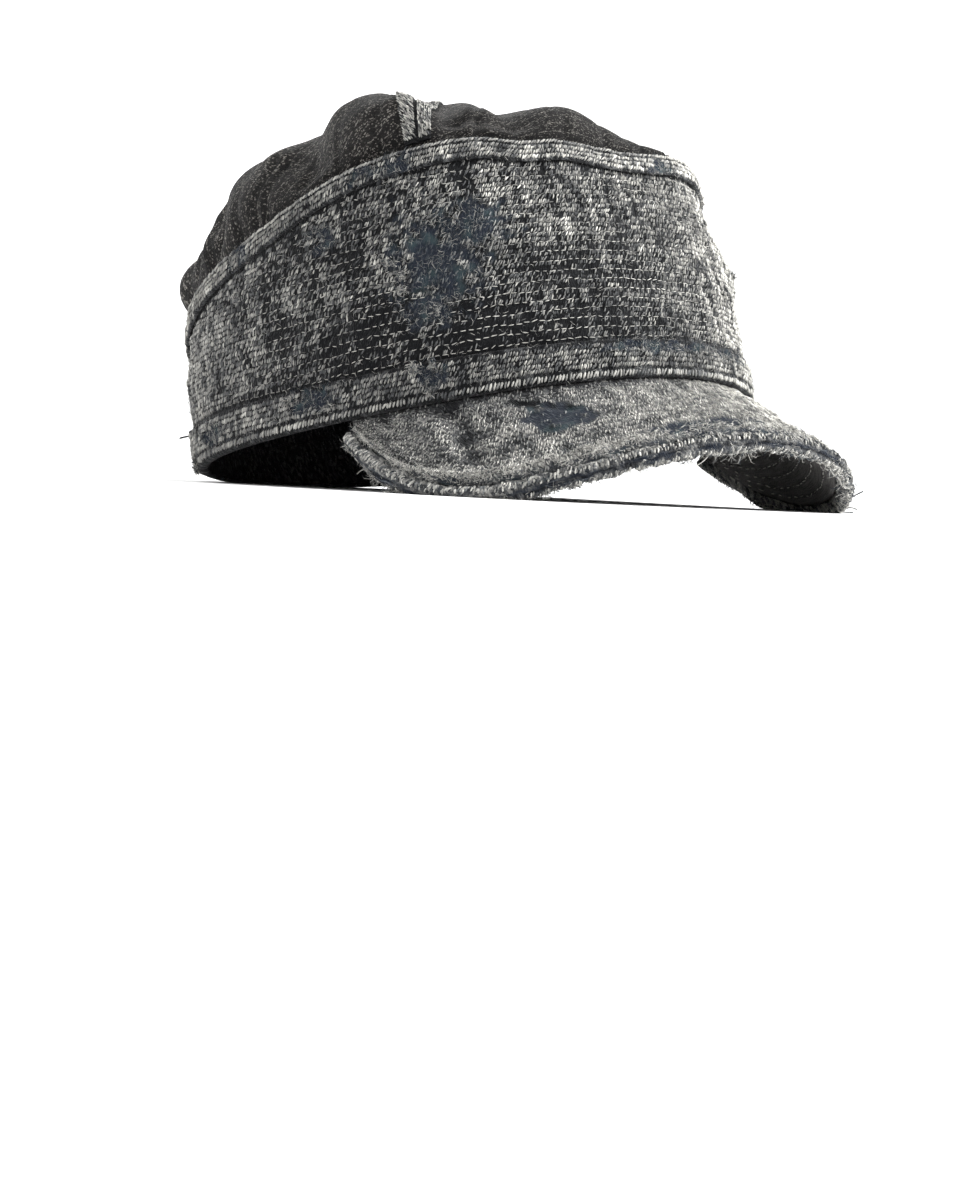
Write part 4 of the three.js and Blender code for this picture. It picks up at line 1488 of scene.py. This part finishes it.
class CAP_OT_crown(bpy.types.Operator):
    """Make the soft gathered crown"""

    bl_idname = "cap.crown"
    bl_label = "Crown"

    def execute(self, context):
        turns = turns_round(CROWN_COLUMNS)
        at_edge = np.linspace(1, CROWN_EDGE_START, CROWN_EDGE_ROWS + 1)[:-1]
        outs = np.concatenate([at_edge, np.linspace(CROWN_EDGE_START, 0, CROWN_ROWS)])
        face = crown_face(turns, outs)
        inner_outs = np.linspace(0, 1, CROWN_INNER_ROWS)
        inner = placed(
            crown_point(turns, inner_outs, crown_relief(turns, inner_outs + 0 * turns) - CROWN_WALL)
        )
        depths = np.array([CROWN_TUCK, CROWN_TUCK / 2])
        tuck = placed(crown_tuck_point(turns, depths, 0.0))
        inner_tuck = placed(crown_tuck_point(turns, depths[::-1], CROWN_WALL))
        points = np.concatenate([tuck, face, inner, inner_tuck], axis=1)
        all_outs = np.concatenate([[1.1, 1.05], outs, inner_outs, [1.05, 1.1]])
        place = disc_place(np.append(turns, 180)[:, None] + STRIPES_TURN, np.append(all_outs, 1.1))
        place = place * BAND_TOP_HALF_WIDTH * 1.15
        uv = np.stack([place[..., 1], place[..., 0]], -1)
        ridge = fade(crown_relief(turns, all_outs + 0 * turns) + 0 * turns, 0.5, 1.8)
        points, faces, corners = shell(points, True, uv)
        material = crown_material(context.scene.cap_colours)
        make_piece(
            "crown_cloth", points, faces, "crown_denim", material, corners, ["crown"], True, worn=ridge
        )
        return {"FINISHED"}


class CAP_OT_strip(bpy.types.Operator):
    """Make the felled strip over the crown and its stitches"""

    bl_idname = "cap.strip"
    bl_label = "Seam strip"

    def execute(self, context):
        colours = context.scene.cap_colours
        shares = np.linspace(0, 1, STRIP_STEPS)[:, None]
        across = np.linspace(-STRIP_HALF_WIDTH, STRIP_HALF_WIDTH, STRIP_COLUMNS)
        top = strip_face(shares, across)
        turn, out = strip_place(shares, across[::-1] * STRIP_NARROWING + STRIP_SHIFT + 0 * shares)
        under = crown_face(turn, out, SEAM_GAP * 0.6)
        points = np.concatenate([top, under], axis=1)[:, ::-1]
        length = STRIP_MAP_LENGTH * shares
        wide = np.concatenate([across, across[::-1] + 12])[::-1]
        uv = np.stack(np.broadcast_arrays(length, np.append(wide, wide[-1] + 1)), -1)
        none = np.zeros(points.shape[:2])
        points, faces, corners = shell(points, False, uv)
        material = nubby_cloth("strip_cloth", colours, (0.5, 1.3), 30, -0.04)
        make_piece(
            "seam_strip", points, faces, "strip_cloth", material, corners, ["crown_seam_strip"],
            worn=none, shade=none,
        )
        self.make_stitches(colours)
        return {"FINISHED"}

    def make_stitches(self, colours):
        """Slanted bits of yarn on one half of the strip, straighter ones on the other."""
        rng = np.random.default_rng(404)
        places = np.linspace(0.012, 0.988, STRIP_BITS)
        share, across = np.meshgrid(places, np.linspace(0.85, STRIP_HALF_WIDTH - 0.4, STRIP_BIT_ROWS))
        share, across = share.ravel(), across.ravel()
        share = share + (np.round(across * 1.6) % 2) * 0.0026 + rng.uniform(-0.0008, 0.0008, len(share))
        across = across + rng.uniform(-0.1, 0.1, len(across))
        parts = []
        for side, slant, half_mm in ((1, 36, (0.8, 0.26, 0.3)), (-1, 10, (0.85, 0.32, 0.32))):
            place = frames(strip_face, share, across * side, 0.12, (0.002, 0.2))
            tone = rng.beta(1.1, 1.2, len(share)) * 0.9 + 0.05
            keep = tone > 0.25
            place = [axis[keep] for axis in place]
            parts.append(lay_yarn(rng, place, half_mm, slant, tone[keep]))
        make_yarn("strip_stitches", "strip_cloth", yarn_material("strip_yarn", colours), parts)


class CAP_OT_peak(bpy.types.Operator):
    """Make the peak's cloth, its fine nubs and its worn slit"""

    bl_idname = "cap.peak"
    bl_label = "Peak"

    def execute(self, context):
        colours = context.scene.cap_colours
        along = ease_to_corners(np.linspace(-1, 1, PEAK_STEPS))[:, None]
        outs = np.linspace(0, 1, PEAK_ROWS)
        under_outs = outs[::-1][::PEAK_ROWS_SKIPPED]
        top = peak_face(along, outs)
        bottom = placed(peak_point(along, under_outs, PEAK_CLOTH_THICKNESS))
        points = np.concatenate([top, bottom], axis=1)[:, ::-1]
        turn = along * PEAK_HALF_TURN
        around = turn * MM_PER_DEGREE * (1 + 0.16 * outs)
        under = around[:, :1] + 0 * under_outs
        u = np.concatenate([around, under, around[:, :1]], axis=1)
        v = np.concatenate([outs, under_outs, [0]]) * PEAK_MAP_LENGTH * np.ones_like(u)
        uv = np.stack([u, v], -1)[:, ::-1]
        worn = np.concatenate([peak_worn(along, outs), 0 * under], axis=1)[:, ::-1]
        shade = np.concatenate([self.shade(along, outs), 0 * under], axis=1)[:, ::-1]
        points, faces, corners = shell(points, False, uv)
        material = nubby_cloth("peak_cloth", colours, (0.42, 1.5), -8, 0.41, 0.8)
        make_piece(
            "peak_cloth_top",
            points,
            faces,
            "peak_cloth",
            material,
            corners,
            ["peak"],
            worn=worn,
            shade=shade,
        )
        self.make_nubs(colours)
        return {"FINISHED"}

    @staticmethod
    def shade(along, out):
        """Painted shade by the root where the hem overhangs it, in the valley's fold, in the pressed rows
        and on the near side; painted light on the far side; darker in the slit and paler along its lip.
        """
        turn = along * PEAK_HALF_TURN
        # Painted shade where the hem overhangs the peak's root.
        root = -0.3 * hill(out, 0.14) * fade(-along, -0.2, 0.3)
        slit = -1.2 * slit_at(along, out)
        # Painted shade in the valley's fold.
        valley = -0.22 * valley_at(along, out, 0.03)
        # Painted shade in the grooves that the stitching presses between rows.
        rows = 0.05 * np.cos(2 * np.pi * out * PEAK_REACH / PEAK_ROW_GAP)
        # Painted shade on the near side, turned from the key light.
        near = -0.14 * fade(-along, 0.2, 0.5)
        lip = 0.3 * hill(out - 0.9, 0.05)
        clouds = 0.16 * lumps(turn, out * PEAK_CLOTH_RUN, 9, 81)
        # Painted light on the far side, which faces the key light.
        return root + slit + valley + rows + near + lip + clouds + 0.2 * fade(along, -0.1, 0.4)

    def make_nubs(self, colours):
        """Fine upright bits of yarn in rows that follow the peak's edge."""
        rng = np.random.default_rng(505)
        places = np.arange(-PEAK_NUB_END, PEAK_NUB_END, PEAK_NUB_GAP)
        out, along = np.meshgrid(np.arange(0.03, 1.0, PEAK_NUB_ROW_GAP), places)
        out, along = out.ravel(), along.ravel()
        along = np.clip(along + rng.uniform(-0.0014, 0.0014, len(along)), -PEAK_NUB_END, PEAK_NUB_END)
        out = np.clip(out + rng.uniform(-0.02, 0.02, len(out)), 0.01, 0.99)
        width = peak_width(along)
        # The nubs' tone carries the peak's painted shade and light.
        tone = 0.75 + self.shade(along, out) + rng.normal(0, 0.15, len(along))
        worn = peak_worn(along, out)
        keep = (tone > 0.36) & (worn * 0.85 < rng.uniform(0, 1, len(out))) & (width > 0.12)
        along, out, tone, worn, width = (v[keep] for v in (along, out, tone, worn, width))
        place = peak_frames(along, out, 0.1)
        half = np.stack([0.85 * width, 0.22 + 0 * width, 0.2 + 0 * width], 1)
        parts = [lay_yarn(rng, place, half, 80, tone * 0.95, worn * 0.7, loose=0.04)]
        material = yarn_material("peak_yarn", colours)
        for row in PEAK_STITCH_ROWS:
            along = np.arange(-PEAK_STITCH_END, PEAK_STITCH_END, PEAK_STITCH_GAP)
            along = along + rng.uniform(-0.002, 0.002, len(along))
            along = along[peak_worn(along, row + 0 * along) < 0.4]
            place = peak_frames(along, row + 0 * along, 0.16)
            parts.append(lay_yarn(rng, place, (0.95, 0.17, 0.17), 0, 0.45, 0.0, GRAIN, 0.02))
        make_yarn("peak_nubs", "peak_cloth", material, parts)


class CAP_OT_lining(bpy.types.Operator):
    """Make the lining under the peak and its rows of stitches"""

    bl_idname = "cap.lining"
    bl_label = "Peak lining"

    def execute(self, context):
        colours = context.scene.cap_colours
        along = ease_to_corners(np.linspace(-1, 1, LINING_STEPS))[:, None]
        outs = np.linspace(0, 1, LINING_ROWS)
        top_outs = outs[::LINING_ROWS_SKIPPED]
        bottom = lining_face(along, outs[::-1])
        top = placed(peak_point(along, top_outs, PEAK_CLOTH_THICKNESS + SEAM_GAP))
        points = np.concatenate([top, bottom], axis=1)[:, ::-1]
        around = along * PEAK_HALF_TURN * MM_PER_DEGREE
        v = np.concatenate([top_outs, 2 - outs[::-1], [2]])[::-1] * PEAK_MAP_LENGTH
        uv = np.stack(np.broadcast_arrays(around, v), -1)
        points, faces, corners = shell(points, False, uv)
        material = lining_material(colours)
        make_piece("lining_cloth", points, faces, "lining_cloth", material, corners, ["peak_lining"])
        self.make_stitches(colours)
        return {"FINISHED"}

    def make_stitches(self, colours):
        """Rows of running stitches that follow the free edge, about five millimetres apart."""
        rng = np.random.default_rng(606)
        parts = []
        for level in np.arange(0.1, 1.0, LINING_STITCH_ROW_GAP):
            along = (
                np.arange(-LINING_STITCH_END, LINING_STITCH_END, LINING_STITCH_GAP) + rng.uniform(0, 0.02)
            )
            along = along + rng.uniform(-0.002, 0.002, len(along))
            out = level + rng.normal(0, 0.003, len(along))
            place = frames(lining_face, along, out, 0.12, PEAK_PLACES)
            tone = rng.uniform(0.6, 0.9, len(along))
            parts.append(lay_yarn(rng, place, (1.3, 0.2, 0.2), 0, tone, 0.0, GRAIN, 0.02))
        make_yarn("lining_stitches", "lining_cloth", yarn_material("lining_thread", colours), parts)


class CAP_OT_rolled_edge(bpy.types.Operator):
    """Make the rolled raw edge round the peak"""

    bl_idname = "cap.rolled_edge"
    bl_label = "Rolled edge"

    def execute(self, context):
        colours = context.scene.cap_colours
        along = ease_to_corners(np.linspace(-1, 1, EDGE_STEPS))[:, None]
        angle = np.linspace(0, -2 * np.pi, EDGE_SIDES + 1)[:-1]
        signed = (angle + np.pi) % (2 * np.pi) - np.pi
        points = edge_face(along, signed)
        length = along * PEAK_HALF_TURN * MM_PER_DEGREE * 1.25
        uv = np.stack(
            np.broadcast_arrays(length, np.append(angle, -2 * np.pi) * PEAK_EDGE_THICKNESS / 2), -1
        )
        turn = along * PEAK_HALF_TURN
        ragged = 0.3 * lumps(turn, signed * 2.5, 6, 64)
        streak = 1.2 * hill(signed + 0.25 + ragged, 0.5) + 0.8 * hill(signed + 1.25 + ragged, 0.2)
        worn = np.clip(streak, 0, 1) * (0.55 + 0.45 * fade(lumps(turn, signed * 2.5, 16, 67), -0.5, 0.2))
        shade = 0.42 + 0.25 * lumps(turn, signed * 2.5, 12, 65)
        points, faces, corners = shell(points, False, uv)
        material = edge_material(colours)
        make_piece(
            "rolled_edge", points, faces, "edge_cloth", material, corners, ["peak_rolled_edge"],
            worn=np.clip(worn, 0, 1), shade=shade,
        )
        return {"FINISHED"}


class CAP_OT_fringe(bpy.types.Operator):
    """Make the frayed lip, fringe and nubs of the rolled edge"""

    bl_idname = "cap.fringe"
    bl_label = "Fringe"

    def execute(self, context):
        sizes, colours = context.scene.cap_sizes, context.scene.cap_colours
        rng = np.random.default_rng(707)
        material = yarn_material("fringe_yarn", colours)
        size = sizes.fringe_length
        parts = [
            self.lip(rng, LIP_FIBRES, 0.9, size * 0.7),
            self.lip(rng, LOWER_LIP_FIBRES, 0.96, size * 0.6),
            self.hanging(rng, FRINGE_FIBRES, 0.75, 0.35, size),
            self.hanging(rng, UPPER_FRINGE_FIBRES, 0.1, 0.5, size * 0.7),
        ]
        make_yarn("edge_fringe", "edge_cloth", material, parts)
        count = EDGE_NUBS
        along = ease_to_corners(rng.uniform(-1, 1, count))
        below = rng.uniform(0, 1, count) < 0.6
        angle = np.where(below, rng.uniform(0.3, 1.5, count), rng.uniform(-1.9, -1.0, count))
        place = edge_frames(along, angle, 0.1)
        tone = rng.beta(1.2, 1.2, count) * 0.75 + 0.22
        blue = np.where(rng.uniform(0, 1, count) < 0.15, 0.8, 0.0)
        bits = lay_yarn(rng, place, (0.85, 0.33, 0.33), 72, tone, blue)
        make_yarn("edge_nubs", "edge_cloth", material, [bits])
        return {"FINISHED"}

    @staticmethod
    def lip(rng, count, level, size):
        """Pale fibres that lie along the lip on top of the peak, thicker in some places than in others."""
        along = ease_to_corners(rng.uniform(-1, 1, count))
        thick = 0.55 + 0.6 * lumps(along * PEAK_HALF_TURN, 0 * along, 5, 68)
        along = along[thick > rng.uniform(0, 0.9, count)]
        out = np.clip(level + rng.normal(0, 0.03, len(along)), 0.5, 1)
        point, run, to_root, outwards = peak_frames(along, out, 0.1)
        tone = rng.uniform(0.45, 0.95, len(along))
        blue = (rng.uniform(0, 1, len(along)) < 0.12).astype(float)
        place = (point, run, -to_root * 0.45, outwards)
        return loose_fibres(rng, place, size * 0.8, 0.3, tone, blue, (0.07, 0.14))

    @staticmethod
    def hanging(rng, count, middle, width, size):
        """Fibres that hang in clumps below the edge."""
        along = ease_to_corners(rng.uniform(-1, 1, count))
        clump = 0.35 + 0.9 * lumps(along * PEAK_HALF_TURN, 0 * along, 4.5, 66)
        clump = clump + 0.8 * hill(along - 0.86, 0.05) + 0.8 * hill(along + 0.93, 0.03)
        keep = clump > rng.uniform(0, 1, count)
        along, clump = along[keep], clump[keep]
        count = len(along)
        angle = rng.normal(middle, width, count)
        point, run, _, outwards = edge_frames(along, angle, 0.0)
        hang = unit(outwards + np.array([0, 0, -0.5]))
        tone = rng.uniform(0.35, 0.95, count)
        blue = (rng.uniform(0, 1, count) < 0.2).astype(float)
        place = (point, run, np.cross(hang, run), hang)
        return loose_fibres(rng, place, size * np.clip(clump, 0.3, 1.1), 0.9, tone, blue, (0.05, 0.11))


class CAP_OT_fuzz(bpy.types.Operator):
    """Make the loose fibres and tufts of the band, the hems and the worn patches"""

    bl_idname = "cap.fuzz"
    bl_label = "Fuzz and fray"

    def execute(self, context):
        sizes, colours = context.scene.cap_sizes, context.scene.cap_colours
        rng = np.random.default_rng(808)
        size = sizes.fuzz_length
        top, bottom = hem_face(True), hem_face(False)
        parts = [
            self.scattered(rng, band_face, BAND_FIBRES, (BOTTOM_HEM_HEIGHT, BAND_HEIGHT), size),
            self.scattered(rng, top, TOP_HEM_FIBRES, (0.2, TOP_HEM_HEIGHT), size),
            self.scattered(rng, bottom, BOTTOM_HEM_FIBRES, (0.2, BOTTOM_HEM_HEIGHT), size),
        ]
        for face, patches, tufts in (
            (band_face, BAND_PATCHES, BAND_TUFTS),
            (top, TOP_HEM_PATCHES, ()),
            (bottom, BOTTOM_HEM_PATCHES, BOTTOM_HEM_TUFTS),
        ):
            parts += [self.round_patch(rng, face, patch, size * 1.3) for patch in patches]
            parts += [self.tuft(rng, face, tuft, size * 0.9) for tuft in tufts]
        make_yarn("loose_fibres", "band_cloth", yarn_material("fray_yarn", colours), parts)
        return {"FINISHED"}

    @staticmethod
    def scattered(rng, face, count, lengths, size):
        """Single fibres all over a cloth."""
        turn, length = rng.uniform(-180, 180, count), rng.uniform(*lengths, count)
        if face is band_face:
            keep = length < wall_height(turn) - TOP_HEM_HEIGHT
            turn, length = turn[keep], length[keep]
        place = frames(face, turn, length, 0.2)
        return loose_fibres(rng, place, size, 0.4, rng.uniform(0.3, 0.8, len(turn)))

    @staticmethod
    def round_patch(rng, face, patch, size):
        """Fibres that are thickest round a worn patch's edge."""
        count = int(16 * (patch.half_turn * MM_PER_DEGREE + patch.half_height))
        angle = rng.uniform(0, 2 * np.pi, count)
        at_edge = rng.uniform(0, 1, count) < 0.6
        far = np.where(at_edge, rng.normal(1.05, 0.16, count), rng.uniform(0, 1, count))
        turn = patch.turn + patch.half_turn * far * np.cos(angle)
        length = np.maximum(patch.height + patch.half_height * far * np.sin(angle), 0.3)
        place = frames(face, turn, length, 0.2)
        blue = (rng.uniform(0, 1, count) < 0.5).astype(float)
        return loose_fibres(rng, place, size, 0.35, rng.uniform(0.3, 0.85, count), blue)

    @staticmethod
    def tuft(rng, face, tuft, size):
        """Thick short fibres that stand up close together."""
        far = np.abs(rng.normal(0, tuft.radius * 0.5, tuft.count))
        angle = rng.uniform(0, 2 * np.pi, tuft.count)
        turn = tuft.turn + far * np.cos(angle) / MM_PER_DEGREE
        length = np.maximum(tuft.height + far * np.sin(angle), 0.2)
        place = frames(face, turn, length, 0.3 + rng.uniform(0, 0.7, tuft.count))
        tone = rng.uniform(0.3, 0.8, tuft.count)
        blue = (rng.uniform(0, 1, tuft.count) < 0.25).astype(float)
        return loose_fibres(rng, place, size, 0.8, tone, blue, (0.09, 0.18))


def tube(path, radius, sides=5):
    """A thread: circles square to a smooth path, closed to a point at both ends."""
    path = np.asarray(path, float)
    way = unit(np.gradient(path, axis=0))
    side = unit(np.cross(way, [0.31, 0.22, 0.93]))
    third = np.cross(way, side)
    angle = 2 * np.pi * np.arange(sides) / sides
    ring = side[:, None] * np.cos(angle)[None, :, None] + third[:, None] * np.sin(angle)[None, :, None]
    points = path[1:-1, None] + ring[1:-1] * radius
    count = len(points)
    j = np.arange(sides)
    k = (j + 1) % sides
    i = np.arange(count - 1)[:, None] * sides
    quads = np.stack([i + j, i + k, i + sides + k, i + sides + j], -1).reshape(-1, 4)
    faces = np.concatenate([quads[:, [0, 1, 2]], quads[:, [0, 2, 3]]])
    last = (count - 1) * sides
    start, end = count * sides, count * sides + 1
    caps = np.concatenate(
        [np.stack([k, j, 0 * j + start], 1), np.stack([last + j, last + k, 0 * j + end], 1)]
    )
    return np.concatenate([points.reshape(-1, 3), path[:1], path[-1:]]), np.concatenate([faces, caps])


def smooth_path(knots, count=40):
    """A smooth curve through the knots: the same cubic, with the path carried on straight past its ends."""
    knots = np.asarray(knots, float)
    padded = np.concatenate([knots[:1] * 2 - knots[1:2], knots, knots[-1:] * 2 - knots[-2:-1]])
    at = np.linspace(0, len(knots) - 1, count)
    low = np.clip(np.floor(at), 0, len(knots) - 2).astype(int)
    t = (at - low)[:, None]
    p0, p1, p2, p3 = (padded[low + k] for k in range(4))
    return p1 + t / 2 * (p2 - p0 + t * (2 * p0 - 5 * p1 + 4 * p2 - p3 + t * (3 * (p1 - p2) + p3 - p0)))


# Long threads that hang from the rolled edge: where they start along it, the steps of their path along the
# edge, outwards and up, their radius, all in millimetres, and their tone
Strand = namedtuple("Strand", "along steps radius tone")
STRANDS = (
    Strand(
        0.84,
        ((0, 0, 0), (1, -2, -1), (4, -5, 0), (8, -6, 1), (9, -3, 1.5), (5, -2, 1), (2, -3, 0)),
        0.17,
        0.65,
    ),
    Strand(0.88, ((0, 0, 0), (-1, -3, -1), (-4, -5, 0), (-6, -3, 1), (-3, -1.5, 1)), 0.17, 0.7),
    Strand(0.80, ((0, 0, 0), (2, -3, -1), (6, -5, 0), (11, -5, 1), (13, -2, 1)), 0.13, 0.2),
    Strand(0.62, ((0, 0, 0), (1, 2.5, 1.0), (2, 5, 0.8)), 0.24, 0.02),
    Strand(0.58, ((0, 0, 0), (-0.5, 2.6, 1.8), (-1.5, 5.4, 3.2)), 0.24, 0.02),
    Strand(0.66, ((0, 0, 0), (1.5, 2.4, 0.2), (2.4, 5.4, 0.4)), 0.24, 0.02),
    Strand(
        -0.2, ((0, 0, 0), (-4, 0.6, -1.4), (-9, 0.8, -1.8), (-15, 0.6, -0.9), (-20, 0, 0.6)), 0.13, 0.75
    ),
    Strand(-0.91, ((0, 0, 0), (1, 1.5, -1), (3, 3.5, -2), (2.5, 5, -3)), 0.15, 0.7),
    Strand(-0.955, ((0, 0, 0), (-1, 1.5, -1), (-0.5, 3.4, -2)), 0.15, 0.75),
)


class CAP_OT_threads(bpy.types.Operator):
    """Make the long loose threads of the peak's edge and the stub behind"""

    bl_idname = "cap.threads"
    bl_label = "Loose threads"

    def execute(self, context):
        colours = context.scene.cap_colours
        parts = []
        for along, steps, radius, tone in STRANDS:
            point, run, _, _ = edge_frames(np.array([along]), 0.7, -0.2)
            outward = unit(np.array([run[0][1], -run[0][0], 0.0]))
            knots = np.array(
                [point[0] + (run[0] * a + outward * b) * MM + [0, 0, c * MM] for a, b, c in steps]
            )
            knots[:, 2] = np.maximum(knots[:, 2], 2 * radius * MM)
            points, faces = tube(smooth_path(knots), radius * MM)
            parts.append((points, faces, np.full(len(points), tone), np.zeros(len(points))))
        face = hem_face(False)
        start, away = face(np.array(-136.0), 12.0), unit(np.array([-0.75, 0.35, -0.12]))
        stub = [start - away * 0.002, start + away * 0.0015, start + away * 0.0045 + [0, 0, -0.0004]]
        points, faces = tube(smooth_path(stub, 12), 0.35 * MM)
        parts.append((points, faces, np.full(len(points), 0.05), np.zeros(len(points))))
        make_yarn("loose_threads", "edge_cloth", yarn_material("thread_yarn", colours), parts)
        return {"FINISHED"}


OPERATORS = (
    CAP_OT_studio,
    CAP_OT_crown,
    CAP_OT_strip,
    CAP_OT_band,
    CAP_OT_band_nubs,
    CAP_OT_band_stitches,
    CAP_OT_hems,
    CAP_OT_hem_nubs,
    CAP_OT_peak,
    CAP_OT_lining,
    CAP_OT_rolled_edge,
    CAP_OT_fringe,
    CAP_OT_fuzz,
    CAP_OT_threads,
)


class CAP_PT_panel(bpy.types.Panel):
    """Lists the cap's operators, sizes and colours"""

    bl_label = "Denim work cap"
    bl_idname = "CAP_PT_panel"
    bl_space_type = "VIEW_3D"
    bl_region_type = "UI"
    bl_category = "Cap"

    def draw(self, context):
        for operator in OPERATORS:
            self.layout.operator(operator.bl_idname)
        for group in (context.scene.cap_sizes, context.scene.cap_colours, context.scene.cap_studio):
            box = self.layout.box()
            for name in group.__annotations__:
                box.prop(group, name)


CLASSES = (CapColours, CapSizes, CapStudio, *OPERATORS, CAP_PT_panel)


def register():
    """Registers the classes and hangs the settings on the scene."""
    for cls in CLASSES:
        bpy.utils.register_class(cls)
    bpy.types.Scene.cap_colours = bpy.props.PointerProperty(type=CapColours)
    bpy.types.Scene.cap_sizes = bpy.props.PointerProperty(type=CapSizes)
    bpy.types.Scene.cap_studio = bpy.props.PointerProperty(type=CapStudio)


def unregister():
    """Takes the settings and the classes away again."""
    del bpy.types.Scene.cap_colours, bpy.types.Scene.cap_sizes, bpy.types.Scene.cap_studio
    for cls in reversed(CLASSES):
        bpy.utils.unregister_class(cls)


def main():
    """Makes every piece in order."""
    register()
    for operator in OPERATORS:
        getattr(bpy.ops.cap, operator.bl_idname.split(".")[1])()


if __name__ == "__main__":
    main()
